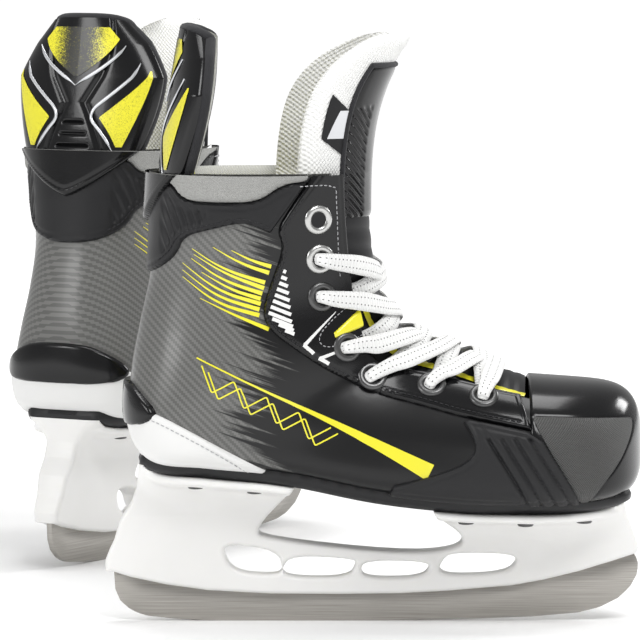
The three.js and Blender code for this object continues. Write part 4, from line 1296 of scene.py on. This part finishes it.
for label, side in SIDES.items():
    patch(f"flex_gusset_{label}", (2.2, 6.5), sorted((side * 1.5, side * FACING_EDGE)), gusset_height, yellow_skin,
          inside_by(GUSSET), step=0.5)
seam(facing_threads, GUSSET_FRAME, 2.6, 0.8, pitch=1.9, length=1.2, thick=0.4)
for line in ([(-16.5, 179.5), (-15.2, 150), (-14.5, 143)], FACING_CORNER):
    seam(facing_threads, line, 2.5, 1.0, pitch=2.1, length=1.3, thick=0.45)
facing_threads.place("facing_threads", thread_grey)

# %% [markdown]
# ## Eyelets and lace
# Seven rolled eyelets hold each side; the two upper ones are bare metal and the others are blackened.
# The lace goes straight across at the toe. From there each half comes up under one facing, crosses the
# tongue, lies over the other facing and dives into its eyelet. It ends inside the boot at the second
# eyelet from the top. The upper half lies over the lower one where they cross.

# %% Eyelets
EYELETS = [(-23, 167), (-22.2, 151), (-21.4, 135.5), (-3, 116.5), (14.5, 109), (31, 104.5), (47.5, 100.5)]
eyelet_t, eyelet_a = locate(EYELETS)
eyelet_a = np.minimum(eyelet_a, FACING_EDGE - 0.17)  # a rim's width from the facing's edge
BARE = 2  # the upper eyelets, which aren't blackened


def ring_at(builder, t, angle, lift, profile, count=28):
    """A turned ring: profile gives radius and height above the facing."""
    centre, up = on_boot(t, angle, lift), normals(t, angle)
    out = np.cross(up, (0.0, 0.0, 1.0))
    out /= np.linalg.norm(out)
    ahead = np.cross(up, out)
    turn = np.linspace(0, 2 * np.pi, count, endpoint=False)
    circle = np.cos(turn)[:, None] * out + np.sin(turn)[:, None] * ahead
    builder.grid([centre + r * circle + h * up for r, h in profile], cap=False)


RING = [(6.0, -0.6), (6.0, 0.1), (5.7, 0.6), (5.0, 0.95), (4.1, 0.95), (3.4, 0.6), (3.05, 0.0), (3.0, -2.0),
        (3.0, -5)]
HOLE_FLOOR = [(3.2, 0.25), (1.6, 0.22), (0.05, 0.2)]
bare_rings, black_rings, hole_floors = Builder(), Builder(), Builder()
for side in SIDES.values():
    for k, (t, angle) in enumerate(zip(eyelet_t, eyelet_a)):
        ring_at(bare_rings if k < BARE else black_rings, t, side * angle, FACING_TOP, RING)
        ring_at(hole_floors, t, side * angle, FACING_TOP, HOLE_FLOOR)
bare_rings.place("eyelets_bare", grommet_metal, replaces=["grommets_lateral", "grommets_medial"])
black_rings.place("eyelets_black", dark_metal)
hole_floors.place("eyelet_holes", satin_black)

# %% [markdown]
# Each stretch of lace is a smooth curve through a few stops, given by their place on the boot and
# their height above it. The tape narrows and thickens where it bunches in an eyelet. A second
# attribute, "strand", holds the way along and across the tape, which drives its weave.

# %% Lace
LACE_WIDE, LACE_THICK = 8.0, 2.0
LACE_SIDES = 14
OVER = FACING_TOP + 1.9
INTO_EYELET = 0.045  # the angle by which the lace leans into an eyelet
SUNK = FACING_TOP - 2.4
lace = Builder()
lace_strand = []
lace_length = 0.0


def lace_stretch(stops, widths):
    """One visible stretch. Each stop is t, angle and the height above the boot's surface."""
    global lace_length
    knots = np.array([on_boot(t, a, d) for t, a, d in stops])
    ups = np.array([normals(t, a) for t, a, _ in stops])
    share = np.linspace(0, len(stops) - 1, 46)
    i = np.clip(share.astype(int), 0, len(stops) - 2)
    f = (share - i)[:, None]
    before = np.vstack([2 * knots[0] - knots[1], knots, 2 * knots[-1] - knots[-2]])
    a, b, c, d = (before[i + k] for k in range(4))
    line = 0.5 * (2 * b + (c - a) * f + (2 * a - 5 * b + 4 * c - d) * f**2 + (3 * b - a - 3 * c + d) * f**3)
    up = ups[i] * (1 - f) + ups[i + 1] * f
    wide = np.interp(share, np.arange(len(stops)), widths)
    high = LACE_THICK + (LACE_WIDE - wide) * 0.35
    lace.grid(sweep(line, up, wide, high, LACE_SIDES, 2.6))
    turn = np.linspace(0, 2 * np.pi, LACE_SIDES, endpoint=False)
    for s in along_of(line):
        lace_strand.extend([(s, math.cos(angle), 0.0) for angle in turn])
    lace_length += along_of(line)[-1]


def crossing_pass(side, k, over):
    """From under the facing at eyelet k to over the facing at the next one up."""
    t0, t1, a1 = eyelet_t[k], eyelet_t[k - 1], eyelet_a[k - 1]
    rise = 1.1 if over else -0.7

    def at(share):
        return t0 + (t1 - t0) * share

    lace_stretch(
        [(at(0.05), side * (FACING_EDGE - 0.12), -2.2), (at(0.14), side * (FACING_EDGE + 0.12), -0.6),
         (at(0.3), side * 2.78, 1.2), (at(0.5), side * np.pi, 2.8 + rise), (at(0.68), -side * 2.8, 3.4),
         (at(0.84), -side * (FACING_EDGE + 0.06), 4.3), (at(0.95), -side * (a1 + 0.12), OVER + 0.5),
         (t1, -side * a1, OVER - 0.2), (t1, -side * (a1 - INTO_EYELET), SUNK)],
        [6.0, 7.2, LACE_WIDE, LACE_WIDE, LACE_WIDE, LACE_WIDE, 6.6, 5.2, 4.2])


for k in range(len(EYELETS) - 1, 1, -1):
    crossing_pass(1, k, over=k % 2 == 0)
    crossing_pass(-1, k, over=k % 2 == 1)
t6, a6 = eyelet_t[-1], eyelet_a[-1]
half_bar = [(a6 - INTO_EYELET, SUNK), (a6, OVER - 0.2), (a6 + 0.12, OVER + 0.4), (FACING_EDGE + 0.1, 4.2)]
lace_stretch(
    [(t6, a, d) for a, d in half_bar] + [(t6, np.pi, 3.2)] + [(t6, -a, d) for a, d in half_bar[::-1]],
    [4.2, 5.2, 6.6, LACE_WIDE, LACE_WIDE, LACE_WIDE, 6.6, 5.2, 4.2])
print("lace in view, in millimetres", round(float(lace_length)))
lace.place("lace", lace_cloth, replaces=["lace"], extra={"strand": lace_strand})

# %% [markdown]
# ## Tongue
# The lower tongue lies under the lace, higher along its middle than under the facings. The upper
# tongue is a thick white felt that bends forward at the top, with a black synthetic face in front.

# %% Lower tongue
TONGUE_SUNK, TONGUE_PADDING = 5.0, 5.0
HEM_LIFT, HEM_WIDE, HEM_THICK = 0.35, 3.6, 0.5
tongue_t = np.linspace(0.55, TOE_AT - 0.15, 150)
tongue_a = np.linspace(np.pi - 0.95, np.pi + 0.95, 60)


def tongue_rise(a):
    return 5.2 * np.exp(-((a - np.pi) / 0.5) ** 2)


tt, ta = np.meshgrid(tongue_t, tongue_a, indexing="ij")
quilt = 0.35 * np.abs(np.sin(tt * 9)) * (np.abs(ta - np.pi) < 0.62)
lower = Builder()
lower.grid(on_boot(tt, ta, tongue_rise(ta) - TONGUE_SUNK + quilt)[:, ::-1], close_ring=False)
lower.grid(on_boot(tt, ta, tongue_rise(ta) - TONGUE_SUNK - TONGUE_PADDING), close_ring=False)
lower.place("tongue_lower", satin_black, replaces=["tongue_lower"], fill=0.3)
hem = Builder()
hem_t = tongue_t[30:]
for side in (-1, 1):
    angles = np.full(len(hem_t), np.pi + side * 0.5)
    line = on_boot(hem_t, angles, tongue_rise(angles) - TONGUE_SUNK + HEM_LIFT)
    hem.grid(sweep(line, normals(hem_t, angles), HEM_WIDE, HEM_THICK, 8))
hem.place("tongue_hem", yellow_skin)

# %% [markdown]
# The upper tongue's felt, its synthetic face and its tag are all cut from one curved sheet, at other
# depths. The padded ones are pillows: two copies of the sheet that meet along a rounded rim.

# %% Upper tongue's sheet
TONGUE_TOP, TONGUE_BASE, FELT_THICK, FACE_THICK = 241, 166, 7.5, 1.6


def tongue_sheet(s, share, depth):
    """s runs up the tongue, share across it; depth is measured back from its front face."""
    s, share = np.broadcast_arrays(np.asarray(s, float), np.asarray(share, float))
    z = TONGUE_BASE + (TONGUE_TOP - TONGUE_BASE) * s
    front = -1 + 20 * s**3.2 - depth
    narrow = np.sqrt(np.clip(1 - np.clip((s - 0.55) / 0.46, 0, 1) ** 2.6, 0, 1))
    half = (25 + 6 * np.minimum(1, s * 4)) * (0.25 + 0.75 * narrow) - depth * 0.6
    back = (31 + 5 * share) * (0.15 + 0.85 * narrow) - depth * 0.3
    turn = share * np.pi / 2 * 0.98
    return np.stack([front - back * (1 - np.cos(turn)), half * np.sin(turn), z + 0 * turn], -1)


def puffed(rows, cols, reach, to_s, outside, inside, puff, ribs=0.0):
    """A closed pillow between two depths of the tongue's sheet, its flanks ribbed where ribs is set."""
    s, share = np.meshgrid(np.linspace(0, to_s, rows), np.linspace(-reach, reach, cols), indexing="ij")
    rim = np.minimum(np.minimum(s / 0.04, (to_s - s) / 0.06), (reach - np.abs(share)) / (0.14 * reach))
    round_off = np.sqrt(1 - (1 - np.clip(rim, 0, 1)) ** 2)
    middle = (outside + inside) / 2
    half = (inside - outside) / 2 * round_off + puff * round_off
    ribbed = np.clip((np.abs(share) - 0.3) / 0.04, 0, 1) * np.clip((0.62 - s) / 0.03, 0, 1) * round_off
    grooves = ribs * ribbed * (0.5 + 0.5 * np.cos((s * 75 - np.abs(share) * 34) * 2 * np.pi / 3.4))
    front = tongue_sheet(s, share, middle - half + grooves)
    back = tongue_sheet(s, share, middle + half)
    made = Builder()
    made.grid(front, close_ring=False)
    made.grid(back[:, ::-1], close_ring=False)
    return made


print("top of the tongue", tongue_sheet(1.0, 0.0, 0.0).round(1))

# %% [markdown]
# The felt reaches round the whole sheet and the face covers its front. A bound edge hides where the
# face ends, and a black tag with a silver wedge is sewn to one flank.

# %% Upper tongue's felt, face and tag
felt = puffed(70, 60, 1.0, 1.0, FACE_THICK + 0.2, FACE_THICK + FELT_THICK, 0.6)
felt.place("tongue_felt", felt_white, part="tongue_top", replaces=["tongue_felt"], fill=0.5)
FACE_REACH, FACE_TOP = 0.6, 0.83
face = puffed(150, 90, FACE_REACH, FACE_TOP, -0.4, FACE_THICK + 1.2, 0.2, ribs=0.9)
face.place("tongue_face", gloss_black, part="tongue_top", replaces=["tongue_face"])
binding = Builder()
side_s, top_share = np.linspace(0.05, FACE_TOP, 40), np.linspace(-FACE_REACH, FACE_REACH, 30)
edge_s = np.concatenate([side_s, np.full(30, FACE_TOP), side_s[::-1]])
edge_share = np.concatenate([np.full(40, -FACE_REACH), top_share, np.full(40, FACE_REACH)])
edge_line = tongue_sheet(edge_s, edge_share, 0.6)
binding.grid(sweep(edge_line, np.tile((1.0, 0, 0.2), (len(edge_line), 1)), 2.2, 2.2, 8))
binding.place("tongue_binding", piping_black, part="tongue_top")
tag, tag_wedge = Builder(), Builder()
TAG_LOW, TAG_HIGH, TAG_FRONT, TAG_BACK = 0.35, 0.59, 0.62, 0.88
tag_s, tag_share = np.meshgrid(np.linspace(TAG_LOW, TAG_HIGH, 14), -np.linspace(TAG_BACK, TAG_FRONT, 14),
                               indexing="ij")
tag_lean = 0.09 * (-tag_share - TAG_FRONT) / (TAG_BACK - TAG_FRONT)
tag.grid(tongue_sheet(tag_s + tag_lean, tag_share, 0.55), close_ring=False)
tag.place("tongue_tag", satin_black, part="tongue_top")
wedge_f, wedge_g = np.meshgrid(np.linspace(0, 1, 12), np.linspace(0, 1, 6), indexing="ij")
wedge_share = -(TAG_FRONT + 0.01 + 0.1 * wedge_g + 0.09 * (1 - wedge_f) * wedge_g)
tag_wedge.grid(tongue_sheet(TAG_LOW + 0.09 + 0.15 * wedge_f, wedge_share, 0.35)[:, ::-1], close_ring=False)
tag_wedge.place("tongue_tag_wedge", silver_line, part="tongue_top")

# %% [markdown]
# ## Tendon guard
# A glossy moulding rises behind the ankle: a spine with ribs, three yellow insets framed by silver
# chevrons, a corded edge, and the yellow knit lining inside.

# %% Guard sheet
GUARD_TOP, GUARD_THICK, GUARD_LINING = 243, 4.0, 4.5


def guard_sheet(u, share, depth):
    """u runs up the guard, share round it from one wing to the other."""
    u, share = np.broadcast_arrays(np.asarray(u, float), np.asarray(share, float))
    z = COLLAR + 0.5 + (GUARD_TOP - COLLAR - 0.5) * u
    rear = -87.5 + 9 * np.abs(u) ** 1.15 + depth
    half = 26 + 12 * np.sin(np.pi * np.minimum(1, 0.12 + u * 0.62)) - 14 * np.clip(u - 0.55, 0, 1) / 0.45 - depth
    wing = 11 + 3 * np.sin(np.pi * u) - depth * 0.3
    turn = share * np.pi / 2
    drop = 4.5 * np.clip((u - 0.8) / 0.2, 0, 1) * np.abs(share) ** 3
    return np.stack([rear + wing * (1 - np.cos(turn)), half * np.sin(turn), z - drop], -1)


def guard_piece(name, us, shares, depth, material, rows=90, cols=90, inward=False, **places):
    u, share = np.meshgrid(np.linspace(*us, rows), np.linspace(*shares, cols), indexing="ij")
    made = Builder()
    points = guard_sheet(u, share, depth(u, share))
    made.grid(points if inward else points[:, ::-1], close_ring=False)
    made.place(name, material, part="guard", **places)


def guard_depth(u, share):
    """Grooves that frame the insets, the ribbed spine and the rounded rim, as depth behind the guard's outer face.
    """
    across = np.abs(share)
    spine = 0.07 + 0.16 * np.clip((0.28 - u) / 0.4, 0, 1)
    ribs = 1.2 * np.exp(-((((u + 0.01) % 0.09) - 0.045) / 0.011) ** 2) * (across < spine) * (u < 0.27)
    frame_line = 0.9 * np.exp(-((across - 0.09 - 0.62 * np.abs(u - 0.36)) / 0.03) ** 2)
    rim = 1.6 * (1 - np.sqrt(1 - (1 - np.clip((1 - across) / 0.08, 0, 1)) ** 2))
    return ribs + frame_line + rim


def lining_depth(u, share):
    flank = np.clip((np.abs(share) - 0.8) / 0.2, 0, 1)
    return GUARD_THICK + GUARD_LINING * np.sqrt(1 - flank**2) + 0 * u


guard_piece("tendon_guard", (0, 1), (-1, 1), guard_depth, gloss_black, 140, 140, replaces=["tendon_guard"])
guard_piece("guard_lining", (-0.03, 0.985), (-0.97, 0.97), lining_depth, knit, inward=True,
            replaces=["guard_lining"], fill=0.4)

# %% [markdown]
# Below the collar the guard runs out in a V that is sewn over the strap. It is a patch of the boot,
# trimmed by height and angle instead of by a side-view outline.

# %% Guard's foot
FOOT_TIP = 164


def foot_trim(z, angle):
    return (z - FOOT_TIP - 20 * (np.abs(angle) / 0.78) ** 1.2) * 0.75


def foot_height(x, z, edge, t, angle):
    return rolled(4.4, 1.6)(x, z, edge, t, angle) - 0.4 * seam_line(edge, 2.6)


patch("guard_foot", (-0.03, 1.6), (-1.0, 1.0), foot_height, gloss_black, trim=foot_trim, step=0.8)

# %% [markdown]
# The insets lie flush on the guard's outer sheet. Each is filled in between a left and a right edge.
# The chevrons are flat bars along polylines, and the cord follows the guard's whole rim.

# %% Guard's insets, chevrons and cord
INSET_ROWS, INSET_COLUMNS = 40, 24
PRINT_ON_GUARD, BAR_ON_GUARD = -0.25, -0.3  # depths outside the sheet


def inset_panel(builder, corner_rows):
    """A yellow panel between a left and a right edge, both given as u and share from bottom to top."""
    left, right = (np.asarray(e, float) for e in corner_rows)
    at, g = np.linspace(0, 1, len(left)), np.linspace(0, 1, INSET_COLUMNS)
    rows = []
    for share in np.linspace(0, 1, INSET_ROWS):
        (u0, s0), (u1, s1) = ([np.interp(share, at, e[:, k]) for k in range(2)] for e in (left, right))
        rows.append(guard_sheet(u0 + (u1 - u0) * g, s0 + (s1 - s0) * g, PRINT_ON_GUARD))
    builder.grid(np.array(rows)[:, ::-1], close_ring=False)


insets = Builder()
TOP_INSET = [(0.56, 0.02), (0.84, 0.48), (0.93, 0.4)]
CHEVRONS = [[(0.0, 0.45), (0.24, 0.16), (0.32, 0.18), (0.66, 0.64)], [(0.49, 0.0), (0.52, 0.04), (0.79, 0.53)]]
inset_panel(insets, [[(u, -share) for u, share in TOP_INSET], TOP_INSET])
for side in SIDES.values():
    outer = [(0.03, side * 0.56), (0.32, side * 0.66), (0.6, side * 0.76)]
    inner = [(0.03, side * 0.48), (0.25, side * 0.24), (0.6, side * 0.73)]
    inset_panel(insets, [inner, outer] if side > 0 else [outer, inner])
insets.place("guard_insets", speckled_yellow, part="guard")
chevrons = Builder()
for side in SIDES.values():
    for corners in CHEVRONS:
        line = smooth(spaced(corners, 0.05), 1, False)
        path = guard_sheet(line[:, 0], side * line[:, 1], BAR_ON_GUARD)
        ends = np.clip(np.minimum(np.arange(len(path)), np.arange(len(path))[::-1]) / 5, 0.25, 1)
        chevrons.grid(sweep(path, np.tile((-1.0, 0, 0), (len(path), 1)), 1.5 * ends, 0.7, 8))
chevrons.place("guard_chevrons", silver_line, part="guard")
cord = Builder()
cord_u = np.concatenate([np.linspace(0, 1, 60), np.full(60, 1.0), np.linspace(1, 0, 60)])
cord_share = np.concatenate([np.full(60, -1.0), np.linspace(-1, 1, 60), np.full(60, 1.0)])
cord_line = guard_sheet(cord_u, cord_share, 2.5)
cord.grid(sweep(cord_line, np.tile((-1.0, 0, 0), (len(cord_line), 1)), 4.0, 5.0, 10))
cord.place("guard_cord", piping_black, part="guard")

# %% [markdown]
# ## The floor
# The floor is one pale plane. It is part of the studio and not of the skates.

# %% Floor
floor_mesh = bpy.data.meshes.new("floor")
floor_mesh.from_pydata([(-30, -20, 0), (30, -20, 0), (30, 40, 0), (-30, 40, 0)], [], [(0, 1, 2, 3)])  # metres
floor = bpy.data.objects.new("floor", floor_mesh)
bpy.context.collection.objects.link(floor)
floor_paint, tree, shader = new_material("floor_paint", (0.93, 0.93, 0.93), 0.7)
floor_mesh.materials.append(floor_paint)
# Away from the lamps the floor would fall off to grey, so it glows a little more the further it is.
spot = add(tree, "ShaderNodeVectorMath", operation="LENGTH")
join(tree, add(tree, "ShaderNodeTexCoord").outputs["Object"], spot.inputs[0])
far_off = value_range(tree, spot.outputs["Value"], 0.0, 1.0, 0.25, 1.6)
join(tree, ramp(tree, far_off, (0.0, 0.0, 0.0), (0.66, 0.66, 0.66)), shader.inputs["Emission Color"])
shader.inputs["Emission Strength"].default_value = 1.0
print("floor", floor_mesh.name, [round(v, 1) for v in floor.dimensions])
